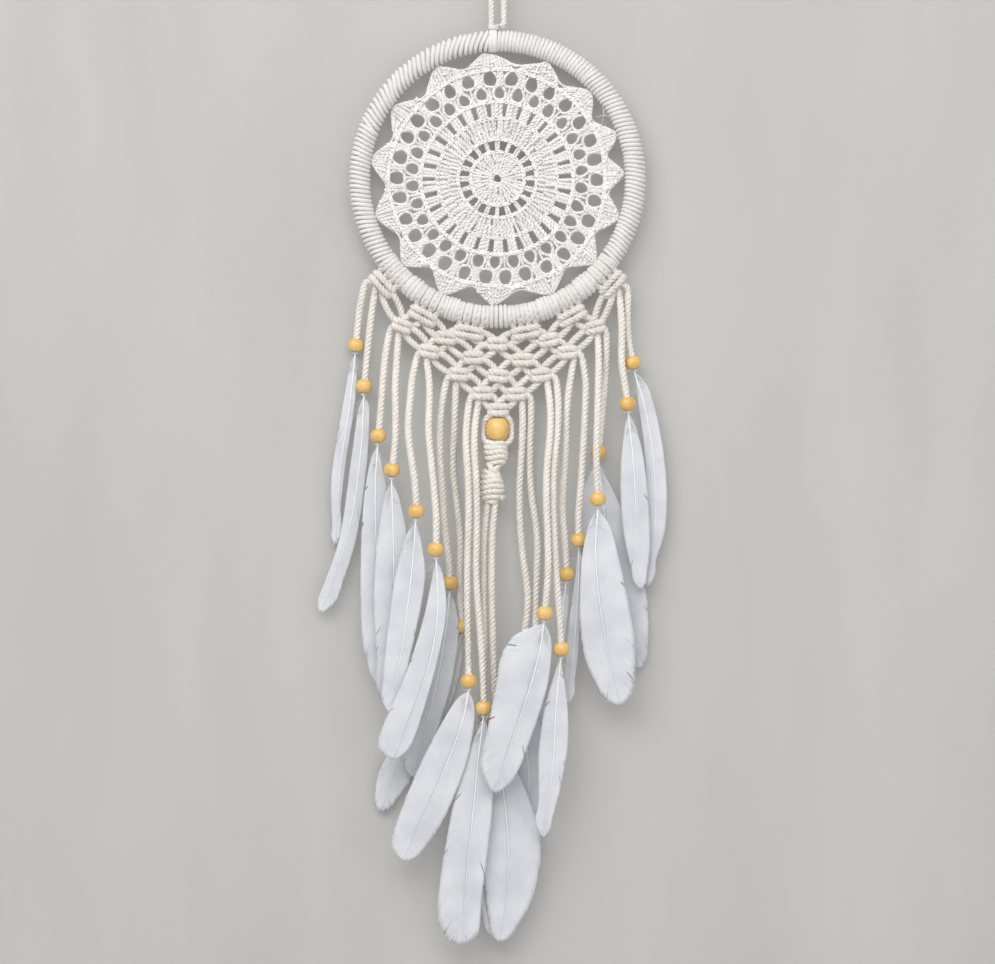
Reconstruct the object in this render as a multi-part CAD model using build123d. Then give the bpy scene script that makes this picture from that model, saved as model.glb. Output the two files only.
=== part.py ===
"""Macrame dream catcher: a cord-wound hoop with a crochet doily, a knotted net and feathered tassels.

Millimetres. +Z is up, +X is to the right seen from the front, the viewer is at -Y and the wall at +Y.
The origin is the nail seat, under the top of the hanging loop, so everything hangs below it.
"""
import os
from math import atan2, cos, degrees, radians, sin, tan

from build123d import *

# hoop
HOOP_Z = -143.0
HOOP_RADIUS = 91.0
CORE_RADIUS = 2.0
WRAP_RADIUS = 6.1

# cords
CORD_RADIUS = 2.5
LOOP_RADIUS = 2.15
TURN_PITCH_DEG = 3.46
TURNS_PER_KNOT = 4
MOUNT_ANGLES = (-47.5, -28.5, -10.5, 10.5, 28.5, 47.5)

# hanging loop
LOOP_HALF_GAP = 4.15
LOOP_LEFT_END_Z = -42.2
LOOP_RIGHT_END_Z = -38.0
RING_X = -3.0
RING_RADIUS = 8.45

# doily
DOILY_THICKNESS = 1.6
DOILY_TIP_RADIUS = 83.6
DOILY_TOP_TIP_RADIUS = 80.0
DOILY_VALLEY_RADIUS = 75.6
DOILY_EYE_RADIUS = 2.4
TIP_ANGLES = (-4, 22, 47, 69, 88, 108, 131, 155, 182, 205, 227, 253, 279, 305, 331)
TIE_ANGLES = (22, 47, 69, 88, 108, 182, 253, 279, 305, 331)
TIE_RADIUS = 0.6

# beads
BEAD_RADIUS = 5.25
BEAD_END_RADIUS = 3.9
BEAD_LENGTH = 9.0
BEAD_BORE = 2.6
BIG_BEAD_RADIUS = 7.4
BIG_BEAD_END_RADIUS = 5.4
BIG_BEAD_LENGTH = 15.0
BIG_BEAD_Z = -308.4
SIDE_CORD_RADIUS = 2.2

# net knots: half length and radius of one square knot, and the knots of each row below the first
KNOT_HALF = 10.5
KNOT_RADIUS = 5.0
KNOT_END_RADIUS = 1.6
LEG_RADIUS = 2.4
LEG_OFFSET = 2.7
LEG_START = 3.5
FIRST_ROW_RADIUS = 103.1
KNOT_ROWS = (
    ((-63, -240), (-34, -248), (0, -252), (34, -249.5), (64.5, -241)),
    ((-45, -257), (-16, -261), (16.5, -262.5), (46, -257.5)),
    ((-25.5, -272), (0.5, -273), (28.5, -272.5)),
    ((-10, -284.5), (12.5, -285)),
    ((0.5, -295.5),),
)

# feathers
VANE_THICKNESS = 0.8
RACHIS_THICKNESS = 1.6
RACHIS_HALF_WIDTH = 0.7

# fringe cords: route of each strand from its knot to the middle of its bead
STRANDS = {
    "l1a": ((-87.5, 0.5, -212.5), (-90.5, 2, -223), (-92.2, 5.5, -238), (-93.7, 5.5, -252.7)),
    "l1b": ((-81.4, 0.5, -219.9), (-83.5, 1.5, -233), (-86, 3.5, -257), (-88.1, 3.5, -279.8)),
    "l2a": ((-71.5, 0, -245), (-74, -1, -257), (-75.6, -3, -276), (-76.8, -3, -296), (-78.5, -3, -312.8)),
    "l2b": ((-65.5, 0, -247.6), (-66.3, -2, -260), (-67.6, -6, -281), (-66.8, -9, -302),
            (-67.2, -10, -320), (-69.3, -10, -335.2)),
    "l3a": ((-53.5, -1, -261.8), (-56.5, -4, -274), (-57.5, -9, -290), (-59.2, -14, -308),
            (-56.5, -17, -328), (-53.6, -18, -346), (-53.2, -18, -362.3)),
    "l3b": ((-46.5, -1, -264.8), (-44.6, -4, -277), (-44.9, -9, -293), (-45.6, -14, -310),
            (-43.3, -18, -331), (-41, -20, -354), (-39.8, -20, -372), (-40.4, -20, -387.3)),
    "l4a": ((-34, 0, -277.6), (-37, 0.3, -290), (-38.4, 0.5, -309), (-37.8, 0.5, -331),
            (-36, 0.5, -354), (-34.6, 0.5, -378), (-32.2, 0.5, -395), (-31.5, 0.5, -409.8)),
    "l4b": ((-27.5, 0.5, -280), (-28.2, 1.5, -292), (-28.4, 4, -310), (-30.4, 6.5, -332),
            (-27, 6.5, -358), (-24.2, 6.5, -384), (-25.8, 6.5, -408), (-24.8, 6.5, -425),
            (-24.1, 6.5, -438.8)),
    "l5a": ((-18.8, -1, -290.8), (-20.6, -4, -303), (-20.9, -8.5, -320), (-19.4, -12, -339),
            (-18.9, -13.5, -366), (-20.2, -13.5, -401), (-19.8, -13.5, -438), (-18.9, -13.5, -473.8)),
    "l5b": ((-13.2, -1, -293.8), (-15.2, -4, -306), (-15.5, -8, -322), (-14, -11, -341),
            (-13.5, -12, -370), (-14.5, -12, -404), (-11.8, -12, -437), (-9.7, -12, -466),
            (-9.1, -12, -491.6)),
    "c1": ((-6.7, -1, -356.6), (-8.8, -1.5, -371), (-9.4, -2, -397), (-9.1, -2, -428),
           (-8.6, -2, -459), (-10.2, -2, -489), (-11.5, -2, -516.7)),
    "c2": ((-1.4, -1, -356.6), (-3.4, -2, -371), (-4, -4, -397), (-3.8, -4, -428),
           (-2.8, -4, -456), (-2.2, -4, -480), (-1.7, -4, -501.5)),
    "r5a": ((16.2, 0, -291), (16.8, 1, -303), (16, 2, -322), (14, 3.5, -352), (15.8, 3.5, -387),
            (19.8, 3.5, -412), (20, 3.5, -431), (16.5, 3.5, -449)),
    "r5b": ((22.2, 0, -290), (22.3, 2, -302), (21.1, 4.5, -321), (21.6, 6, -348), (26.6, 6, -377),
            (26.2, 6, -401), (24.7, 6, -427), (25.2, 6, -450), (26, 6, -470)),
    "r4a": ((33, -1, -278.6), (35, -5, -292), (34.8, -11, -311), (32.2, -17, -333), (31.8, -21, -356),
            (33, -21.5, -380), (33.2, -21.5, -406), (30.8, -21.5, -428.9)),
    "r4b": ((38.9, -1, -277), (40.4, -4, -290), (39.5, -8, -310), (36.7, -13, -332), (36.2, -17, -356),
            (37.2, -17.5, -382), (38.8, -17.5, -409), (40.8, -17.5, -434), (41.9, -17.5, -452.7)),
    "r3a": ((50.2, 0, -263.6), (47.8, -0.5, -276), (45.4, -1, -295), (45, -2, -324), (42.2, -2, -360),
            (45, -2, -386), (45.5, -2, -403.8)),
    "r3b": ((55.9, 0, -261.8), (58.6, -1, -274), (58, -2, -293), (56.6, -3, -319), (54.9, -3, -347),
            (52.8, -3, -367), (53.5, -3, -381.4)),
    "r2a": ((66.2, -1, -248.6), (66.9, -4, -261), (66.2, -8, -280), (65.6, -11, -304), (64.5, -11, -330),
            (65.9, -11, -354.3)),
    "r2b": ((72, 0, -247), (71.9, 1.5, -259), (70.8, 3.5, -279), (69, 5, -302), (66.7, 5, -323.3)),
    "r1a": ((86.3, 1, -217.6), (85.5, 2.3, -231), (86, 2.3, -248), (89.3, 2.3, -264.3)),
    "r1b": ((80.7, 0, -221.8), (81.8, -3, -233), (82, -3, -249), (81.5, -3, -264), (84, -3, -279),
            (85.7, -3, -291.6)),
}

# feathers: left edge, rachis and right edge from the first barbs to the tip, as (x, z)
FEATHERS = {
    "l1a": (((-94.5, -261), (-97.5, -266), (-102, -290), (-110, -340), (-109.5, -372)),
            ((-94.5, -261), (-97.5, -290), (-104, -335)),
            ((-94.5, -261), (-93, -270), (-95, -296), (-101, -335), (-104, -366)), (-107, -385)),
    "l1b": (((-88.5, -288.5), (-92.5, -298), (-97, -330), (-104.5, -380), (-115.5, -412)),
            ((-88.5, -288.5), (-90, -320), (-96, -365), (-107, -405)),
            ((-88.5, -288.5), (-84.8, -294), (-85.5, -322), (-89, -356), (-93.5, -382), (-102, -409)),
            (-117, -429.5)),
    "l2a": (((-79.5, -321.5), (-84, -330), (-88.5, -358), (-90.3, -400), (-89.5, -443), (-86, -462)),
            ((-79.5, -321.5), (-80.5, -350), (-79.5, -400), (-79, -445)),
            ((-79.5, -321.5), (-76.5, -331), (-71.5, -355), (-66.5, -395), (-68, -445)), (-77.5, -476)),
    "l2b": (((-70, -344), (-74.5, -355), (-79, -381), (-81.5, -421), (-79.5, -460)),
            ((-70, -344), (-68.5, -380), (-68, -430), (-69.5, -465)),
            ((-70, -344), (-64, -356), (-58.5, -385), (-56, -425), (-61, -468)), (-71, -490)),
    "l3a": (((-54, -371), (-60, -379), (-67, -405), (-72, -440), (-75.5, -474)),
            ((-54, -371), (-56, -400), (-61, -440), (-66.5, -475)),
            ((-54, -371), (-50.5, -380), (-47.2, -402), (-50, -424), (-55, -448), (-62, -480)),
            (-70, -495)),
    "l3b": (((-40, -396), (-43, -407), (-49, -434), (-59.5, -467), (-72, -495), (-78.5, -514)),
            ((-40, -396), (-39, -425), (-43, -455), (-52, -485), (-62, -510)),
            ((-40, -396), (-35.5, -405), (-33.5, -428), (-38, -454), (-45, -481), (-53.5, -508)),
            (-68, -524.5)),
    "l4a": (((-32, -418.5), (-38.5, -432), (-46, -460), (-55.5, -493), (-61, -518)),
            ((-32, -418.5), (-34, -440), (-39, -470), (-47, -505)),
            ((-32, -418.5), (-28, -424), (-25.6, -441), (-28, -464), (-33, -487), (-42, -515)),
            (-56, -538)),
    "l4b": (((-25, -447.5), (-33, -460), (-48, -485), (-65.5, -512), (-78, -534), (-81, -549)),
            ((-25, -447.5), (-32, -474), (-48, -502), (-65, -530)),
            ((-25, -447.5), (-23.5, -458), (-28, -481), (-39, -508), (-53, -534), (-66, -553)),
            (-77, -561)),
    "l5a": (((-19, -482.5), (-27, -486), (-37, -502), (-50, -527), (-62.5, -556), (-69.6, -579)),
            ((-19, -482.5), (-23, -500), (-32, -525), (-44, -553), (-54, -573)),
            ((-19, -482.5), (-15.5, -489), (-15.4, -503), (-20, -527), (-30, -553), (-39.5, -572),
             (-51, -587)), (-62, -591.5)),
    "l5b": (((-9.5, -500.3), (-14, -509), (-19.5, -522), (-27.5, -548), (-33, -575), (-37.5, -603),
             (-39.3, -628), (-34, -641.5)),
            ((-9.5, -500.3), (-13, -530), (-17, -570), (-21, -610)),
            ((-9.5, -500.3), (-5, -510), (-3, -535), (-3.5, -560), (-7, -590), (-10.5, -620),
             (-12, -637)), (-23, -646.7)),
    "c1": (((-11, -525.5), (-15, -536), (-18, -562), (-18, -595), (-11, -625)),
           ((-11, -525.5), (-7, -555), (-3, -590), (-0.5, -620)),
           ((-11, -525.5), (-4, -536), (6, -555), (13, -580), (13.5, -608), (8, -633)), (1, -646)),
    "c2": (((-1.2, -510.3), (-5, -519), (-7.5, -530), (-11, -550), (-12, -580), (-8.5, -612), (-5, -636)),
           ((-1.2, -510.3), (3, -540), (7, -580), (6, -615)),
           ((-1.2, -510.3), (5, -520), (16, -540), (24.5, -562), (28.5, -580), (27.8, -598), (23, -618),
            (12.5, -637)), (1.5, -646)),
    "r5a": (((15.8, -457.5), (12.5, -468), (10.5, -500), (10.5, -530), (15.5, -563)),
            ((15.8, -457.5), (17, -490), (20, -525), (21, -560)),
            ((15.8, -457.5), (18.8, -466), (20, -479), (28.5, -505), (31.5, -540), (28, -568)),
            (22, -584.5)),
    "r5b": (((26.3, -478.8), (21.5, -490), (18, -515), (19, -548)),
            ((26.3, -478.8), (27, -505), (28, -540)),
            ((26.3, -478.8), (31, -490), (35.5, -513), (35.8, -540), (31, -565)), (25, -580)),
    "r4a": (((30, -437.6), (19, -439.5), (9.5, -445), (2.5, -457), (-2, -481), (-7, -506)),
            ((30, -437.6), (28, -452), (22, -475), (14, -500), (5, -525)),
            ((30, -437.6), (34, -442), (35.4, -452), (33.5, -473), (27, -496), (15, -529)), (-3, -546)),
    "r4b": (((41, -461.3), (37, -470), (31, -490), (27, -520), (27, -552)),
            ((41, -461.3), (38.5, -490), (36.5, -525), (33, -555)),
            ((41, -461.3), (43.5, -472), (46, -492), (46, -517), (41.5, -543), (36, -564)),
            (29.5, -576)),
    "r3a": (((44.8, -412.5), (42, -419), (40, -434), (40.5, -450)),
            ((44.8, -412.5), (43.5, -425), (42.5, -442)),
            ((44.8, -412.5), (47, -418), (46, -432), (44.3, -449)), (41.5, -461)),
    "r3b": (((53.8, -390), (51.9, -396), (51.4, -405), (48.5, -425), (45.5, -450), (43.5, -472)),
            ((53.8, -390), (53.5, -410), (51.5, -440), (48.5, -470)),
            ((53.8, -390), (56.3, -396), (56, -420), (54, -448), (51, -474)), (46.5, -489)),
    "r2a": (((66, -363), (60, -371), (55.5, -393), (54, -427), (57, -457), (66, -478)),
            ((66, -363), (64.5, -390), (67.5, -425), (73, -458)),
            ((66, -363), (75, -375), (84, -412), (90, -446), (90.3, -468)), (81, -489.5)),
    "r2b": (((67, -332), (59, -341), (53.5, -365), (57, -398), (70, -435)),
            ((67, -332), (70, -360), (77, -400), (87, -440)),
            ((67, -332), (73, -342), (82, -360), (94, -394), (99.5, -427), (99.3, -453)), (93, -466)),
    "r1a": (((91.5, -273), (92, -281), (93.5, -295), (96.5, -318), (98, -350), (96.5, -382)),
            ((91.5, -273), (97.5, -295), (103, -330), (104, -370)),
            ((91.5, -273), (96.5, -276), (102, -287), (108.5, -315), (112, -348), (110.8, -375),
             (105, -395)), (98.5, -412)),
    "r1b": (((86.8, -300), (83.5, -310), (81.2, -335), (81.5, -360), (84, -383), (88, -400)),
            ((86.8, -300), (89.5, -330), (91.5, -365), (92.5, -395)),
            ((86.8, -300), (91.5, -308), (96.3, -327), (99.5, -356), (100.7, -384), (98.5, -404)),
            (94.5, -413.5)),
}

TASSELS = ("l1", "l2", "l3", "l4", "l5", "c", "r5", "r4", "r3", "r2", "r1")


def save(node, shape):
    """Write one named piece."""
    export_step(shape, os.path.join("parts", node + ".step"))
    print(f"{node}: {shape.volume:.0f} mm3")


def pair(tassel):
    """The two strand names of a tassel."""
    if tassel == "c":
        return ("c1", "c2")
    return (tassel + "a", tassel + "b")


def on_hoop(radius, angle):
    """A point in the hoop's plane, angle in degrees clockwise from the top seen from the front."""
    turn = radians(angle)
    return Vector(radius * sin(turn), 0, HOOP_Z + radius * cos(turn))


def corner_radii(points):
    """The arc at each corner takes 0.45 of the shorter run beside it."""
    radii = []
    for before, corner, after in zip(points, points[1:], points[2:]):
        run_in = corner - before
        run_out = after - corner
        turn = radians(run_in.get_angle(run_out))
        radii.append(0.45 * min(run_in.length, run_out.length) / tan(turn / 2))
    return radii


def cord_path(points):
    """Straight runs joined by tangent arcs."""
    return FilletPolyline(*points, radius=corner_radii(points))


def round_sweep(path, radius):
    """A round tube along a path."""
    start = Plane(origin=path @ 0, z_dir=path % 0)
    return sweep(start * Circle(radius), path=path)


def strand(name):
    """One fringe cord, and a print of its bends and of its volume against section times length."""
    points = [Vector(*point) for point in STRANDS[name]]
    path = cord_path(points)
    tube = round_sweep(path, CORD_RADIUS)
    radii = " ".join(f"{radius:.0f}" for radius in corner_radii(points))
    ratio = tube.volume / (path.length * Circle(CORD_RADIUS).area)
    print(f"strand {name}: {path.length:.1f} mm, radii {radii}, volume ratio {ratio:.4f}")
    return tube


def rod(start, end, radius):
    """A straight round rod between two points."""
    start = Vector(*start)
    run = Vector(*end) - start
    middle = start + run * 0.5
    return Plane(origin=middle, z_dir=run) * Cylinder(radius, run.length)


def barrel(radius, end_radius, length, bore):
    """A turned wooden bead along Z with a through hole."""
    half = length / 2
    side = ThreePointArc((end_radius, 0, -half), (radius, 0, 0), (end_radius, 0, half))
    top = Line((end_radius, 0, half), (bore, 0, half))
    inner = Line((bore, 0, half), (bore, 0, -half))
    bottom = Line((bore, 0, -half), (end_radius, 0, -half))
    return revolve(make_face([side, top, inner, bottom]), axis=Axis.Z)


def bead_pair(tassel):
    """The bead at the end of each strand of a tassel, in line with the strand."""
    beads = []
    for name in pair(tassel):
        end = Vector(*STRANDS[name][-1])
        run = end - Vector(*STRANDS[name][-2])
        bead = barrel(BEAD_RADIUS, BEAD_END_RADIUS, BEAD_LENGTH, BEAD_BORE)
        beads.append(Plane(origin=end, z_dir=run) * bead)
    return Compound(children=beads)


def flat_plate(outline, depth, thickness):
    """A closed outline of (x, z) points as a plate about y = depth."""
    face = make_face(outline)
    return extrude(face, amount=thickness / 2, dir=(0, 1, 0), both=True).moved(Location((0, depth, 0)))


def vane(name):
    """The flat vane of a feather inside its smooth edge."""
    left, rachis, right, tip = FEATHERS[name]
    edge = list(left) + [tip] + list(reversed(right[1:]))
    curve = Spline([(x, 0, z) for x, z in edge], periodic=True)
    return flat_plate(curve, STRANDS[name][-1][1], VANE_THICKNESS)


def rachis_strip(name):
    """The feather's shaft, from the end of its cord inside the bead down to near the tip."""
    left, rachis, right, tip = FEATHERS[name]
    bead_x, depth, bead_z = STRANDS[name][-1]
    route = [Vector(bead_x, 0, bead_z - 0.2)]
    route += [Vector(x, 0, z) for x, z in rachis]
    sides = []
    for side in (-1, 1):
        edge = []
        for index, point in enumerate(route):
            ahead = route[min(index + 1, len(route) - 1)]
            behind = route[max(index - 1, 0)]
            across = (ahead - behind).normalized().cross(Vector(0, 1, 0))
            taper = 1 - 0.6 * index / len(route)
            edge.append(point + across * side * RACHIS_HALF_WIDTH * taper)
        sides.append(edge)
    outline = Polyline(*sides[0], *reversed(sides[1]), close=True)
    return flat_plate(outline, depth, RACHIS_THICKNESS)


def feather_pair(tassel):
    """Both feathers of a tassel, each with its quill in the bead's hole."""
    return Compound(children=[vane(name) + rachis_strip(name) for name in pair(tassel)])


def turn_round_hoop(angle, radius, cord_radius):
    """One turn of cord round the hoop's tube at an angle from the top."""
    centre = on_hoop(HOOP_RADIUS, angle)
    along = Vector(cos(radians(angle)), 0, -sin(radians(angle)))
    return Plane(origin=centre, z_dir=along) * Torus(radius, cord_radius)


def hoop_core():
    """The plain ring inside the winding."""
    return Plane(origin=(0, 0, HOOP_Z), z_dir=(0, 1, 0)) * Torus(HOOP_RADIUS, CORE_RADIUS)


def wound_arc(start, end):
    """The winding over part of the ring, between two angles from the top."""
    section = Circle(WRAP_RADIUS) - Circle(CORE_RADIUS + 0.02)
    centre = on_hoop(HOOP_RADIUS, start)
    along = Vector(cos(radians(start)), 0, -sin(radians(start)))
    face = Plane(origin=centre, z_dir=along) * section
    return revolve(face, axis=Axis((0, 0, HOOP_Z), (0, 1, 0)), revolution_arc=end - start)


def hoop_wrap():
    """The winding, left out where the mounting knots sit."""
    half = TURN_PITCH_DEG * TURNS_PER_KNOT / 2 + 0.05
    centres = [180 + angle for angle in MOUNT_ANGLES]
    arcs = [wound_arc(centres[-1] + half - 360, centres[0] - half)]
    for before, after in zip(centres, centres[1:]):
        arcs.append(wound_arc(before + half, after - half))
    return Compound(children=arcs)


def mounting_knots():
    """Four turns of cord over the bare ring above every knot of the first row."""
    turns = []
    for centre in MOUNT_ANGLES:
        for index in range(TURNS_PER_KNOT):
            step = index - (TURNS_PER_KNOT - 1) / 2
            angle = 180 + centre + step * TURN_PITCH_DEG
            turns.append(turn_round_hoop(angle, CORE_RADIUS + CORD_RADIUS, CORD_RADIUS))
    return Compound(children=turns)


def spindle(x, z, tilt):
    """One square knot, round in section and pointed at both ends, tilted in the net's plane."""
    top = ThreePointArc((-KNOT_HALF, KNOT_END_RADIUS), (0, KNOT_RADIUS), (KNOT_HALF, KNOT_END_RADIUS))
    right = Line((KNOT_HALF, KNOT_END_RADIUS), (KNOT_HALF, 0))
    base = Line((KNOT_HALF, 0), (-KNOT_HALF, 0))
    left = Line((-KNOT_HALF, 0), (-KNOT_HALF, KNOT_END_RADIUS))
    solid = revolve(make_face([top, right, base, left]), axis=Axis.X)
    return Location((x, 0, z)) * Rotation(0, tilt, 0) * solid


def first_row():
    """The knots right under the hoop, with their positions."""
    places = []
    knots = []
    for angle in reversed(MOUNT_ANGLES):
        place = on_hoop(FIRST_ROW_RADIUS, 180 + angle)
        places.append((place.X, place.Z))
        knots.append(spindle(place.X, place.Z, angle))
    return places, knots


def legs(upper, lower):
    """Two cords side by side from a knot down to the next row."""
    run = Vector(lower[0] - upper[0], 0, lower[1] - upper[1]).normalized()
    across = run.cross(Vector(0, 1, 0)) * LEG_OFFSET
    start = Vector(upper[0], 0, upper[1]) + run * LEG_START
    end = Vector(lower[0], 0, lower[1])
    return [rod(start + across, end + across, LEG_RADIUS), rod(start - across, end - across, LEG_RADIUS)]


def knot_rows():
    """The six rows of the net, each cut clear of the row above."""
    places, knots = first_row()
    rows = [Compound(children=knots)]
    above = knots
    for row in KNOT_ROWS:
        pieces = []
        for index, (x, z) in enumerate(row):
            tilt = degrees(atan2(-(z - places[index][1]) + (z - places[index + 1][1]), 60))
            piece = spindle(x, z, tilt)
            for leg in legs(places[index], (x, z)) + legs(places[index + 1], (x, z)):
                piece = piece + leg
            for knot in above:
                piece = piece - knot
            middle = Vector(x, 0, z)
            piece = min(piece.solids(), key=lambda solid: (solid.center() - middle).length)
            for done in pieces:
                piece = piece - done
            pieces.append(piece)
        rows.append(Compound(children=pieces))
        above = pieces
        places = row
    return rows


def doily_edge():
    """The scalloped edge: a point at each tip and a round valley between two tips."""
    points = []
    count = len(TIP_ANGLES)
    for index, tip in enumerate(TIP_ANGLES):
        following = TIP_ANGLES[(index + 1) % count]
        if following < tip:
            following += 360
        reach = DOILY_TOP_TIP_RADIUS if index == 0 else DOILY_TIP_RADIUS
        gap = following - tip
        points.append(on_hoop(reach, tip - 1.2))
        points.append(on_hoop(reach, tip + 1.2))
        for share, rise in ((0.28, 3.9), (0.42, 1.0), (0.5, 0), (0.58, 1.0), (0.72, 3.9)):
            points.append(on_hoop(DOILY_VALLEY_RADIUS + rise, tip + share * gap))
    return Polyline(*points, close=True)


def round_hole(radius, angle, size):
    """A round hole's wire in the doily."""
    plane = Plane(origin=on_hoop(radius, angle), z_dir=(0, 1, 0))
    return (plane * Circle(size)).wire()


def oval_hole(radius, angle, half_width, half_height):
    """An oval hole's wire in the doily, its height along the radius."""
    centre = on_hoop(radius, angle)
    outward = centre - Vector(0, 0, HOOP_Z)
    plane = Plane(origin=centre, x_dir=outward, z_dir=(0, 1, 0))
    return (plane * Ellipse(half_height, half_width)).wire()


def slot_hole(inner, outer, angle, width):
    """A radial slot's wire in the doily."""
    corners = []
    for radius, side in ((inner, -1), (outer, -1), (outer, 1), (inner, 1)):
        corners.append(on_hoop(radius, angle + side * degrees(width / 2 / radius)))
    return Wire(Polyline(*corners, close=True).edges())


def doily():
    """The crochet disc with its rings of holes."""
    holes = [round_hole(0, 0, DOILY_EYE_RADIUS)]
    for index in range(20):
        holes.append(slot_hole(18.8, 24, 18 * index + 9, 3.7))
    for index in range(30):
        holes.append(slot_hole(41, 48.3, 12 * index + 5, 2.4))
        holes.append(oval_hole(55.9, 12 * index + 1, 3.1, 3.8))
        holes.append(oval_hole(66.2, 12 * index + 7, 3.5, 4.2))
    face = Face(Wire(doily_edge().edges()), holes)
    return extrude(face, amount=DOILY_THICKNESS / 2, dir=(0, 1, 0), both=True)


def doily_ties():
    """Thread turns that hold the doily's tips to the hoop."""
    radius = WRAP_RADIUS + TIE_RADIUS + 0.02
    return Compound(children=[turn_round_hoop(angle, radius, TIE_RADIUS) for angle in TIE_ANGLES])


def hanging_knot():
    """The loop's turn round the hoop and the tail that closes it."""
    top = HOOP_Z + HOOP_RADIUS
    ring = Plane(origin=(RING_X, 0, top), z_dir=(1, 0, 0)) * Torus(RING_RADIUS, LOOP_RADIUS)
    end = (RING_X + 0.4, 0, top + RING_RADIUS)
    tail_points = [Vector(LOOP_HALF_GAP, 0, LOOP_RIGHT_END_Z), Vector(LOOP_HALF_GAP, 0, -42.8), Vector(*end)]
    tail = round_sweep(cord_path(tail_points), LOOP_RADIUS)
    return ring + tail


def hanging_loop(knot):
    """The loop over the nail, cut clear of the knot."""
    top = LOOP_RADIUS
    route = [
        Vector(-LOOP_HALF_GAP, 0, LOOP_LEFT_END_Z),
        Vector(-LOOP_HALF_GAP, 0, top),
        Vector(LOOP_HALF_GAP, 0, top),
        Vector(LOOP_HALF_GAP, 0, LOOP_RIGHT_END_Z),
    ]
    path = FilletPolyline(*route, radius=LOOP_HALF_GAP - 0.05)
    print(f"hanging loop: {path.length:.1f} mm")
    return round_sweep(path, LOOP_RADIUS) - knot


def big_bead():
    """The large bead under the last knot."""
    bead = barrel(BIG_BEAD_RADIUS, BIG_BEAD_END_RADIUS, BIG_BEAD_LENGTH, 3.0)
    return Location((0, 0, BIG_BEAD_Z)) * bead


def side_cord(side):
    """One of the two cords that pass beside the large bead."""
    route = [
        Vector(side * 8.3, 0, -300.6),
        Vector(side * 10.6, 0, -304),
        Vector(side * 11, 0, -308.4),
        Vector(side * 10.3, 0, -314.4),
        Vector(side * 4.8, 0, -319.4),
    ]
    return round_sweep(cord_path(route), SIDE_CORD_RADIUS)


def lobe(x, outline):
    """A turned swelling of the sinnet about a vertical line at x, from (radius, z) points."""
    first = outline[0]
    last = outline[-1]
    curve = Spline([(radius, 0, z) for radius, z in outline])
    top = Line((0, 0, first[1]), (first[0], 0, first[1]))
    bottom = Line((last[0], 0, last[1]), (0, 0, last[1]))
    axis = Line((0, 0, last[1]), (0, 0, first[1]))
    return revolve(make_face([top, curve, bottom, axis]), axis=Axis.Z).moved(Location((x, 0, 0)))


def sinnet():
    """The spiral of square knots below the large bead, with the side cords and two cut ends."""
    upper = lobe(-1.6, ((4.4, -316.6), (7.4, -320), (8, -325), (6.6, -330), (4.2, -334)))
    lower = lobe(-4.3, ((4, -333), (6.4, -337.5), (8.2, -343), (8.5, -349), (7.4, -353.5), (4.6, -356)))
    left_stub = rod((-9, 0, -350), (-14.2, 0, -351.5), CORD_RADIUS)
    right_stub = rod((0, 0, -352), (4.6, 0, -354.5), CORD_RADIUS)
    return upper + lower + left_stub + right_stub + side_cord(-1) + side_cord(1)


def main():
    os.makedirs("parts", exist_ok=True)
    save("hoop_core", hoop_core())
    save("hoop_wrap", hoop_wrap())
    save("doily", doily())
    save("doily_ties", doily_ties())
    knot = hanging_knot()
    save("hanging_knot", knot)
    save("hanging_loop", hanging_loop(knot))
    save("mounting_knots", mounting_knots())
    for index, row in enumerate(knot_rows(), 1):
        save(f"knot_row_{index}", row)
    save("big_bead", big_bead())
    save("sinnet", sinnet())
    for name in STRANDS:
        save("strand_" + name, strand(name))
    for tassel in TASSELS:
        save("beads_" + tassel, bead_pair(tassel))
        save("feathers_" + tassel, feather_pair(tassel))


main()
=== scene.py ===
"""Looks of the macrame dream catcher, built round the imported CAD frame. Metres; the viewer is at -Y."""
import random
from math import atan2, ceil, cos, degrees, pi, radians, sin, sqrt

import bpy
import numpy as np
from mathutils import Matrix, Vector


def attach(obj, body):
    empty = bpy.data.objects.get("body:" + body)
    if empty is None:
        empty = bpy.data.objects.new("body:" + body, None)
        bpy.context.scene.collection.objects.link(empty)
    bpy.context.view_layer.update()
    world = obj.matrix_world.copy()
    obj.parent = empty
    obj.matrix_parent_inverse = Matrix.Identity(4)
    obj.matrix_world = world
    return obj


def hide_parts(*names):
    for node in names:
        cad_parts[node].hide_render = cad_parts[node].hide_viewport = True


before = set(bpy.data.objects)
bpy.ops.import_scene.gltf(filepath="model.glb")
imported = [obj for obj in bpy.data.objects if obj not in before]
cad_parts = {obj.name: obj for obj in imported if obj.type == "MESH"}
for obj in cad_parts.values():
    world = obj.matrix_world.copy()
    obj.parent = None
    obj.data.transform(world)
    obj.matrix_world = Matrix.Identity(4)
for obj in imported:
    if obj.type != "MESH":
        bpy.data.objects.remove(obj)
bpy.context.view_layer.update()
rng = random.Random(20)

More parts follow.
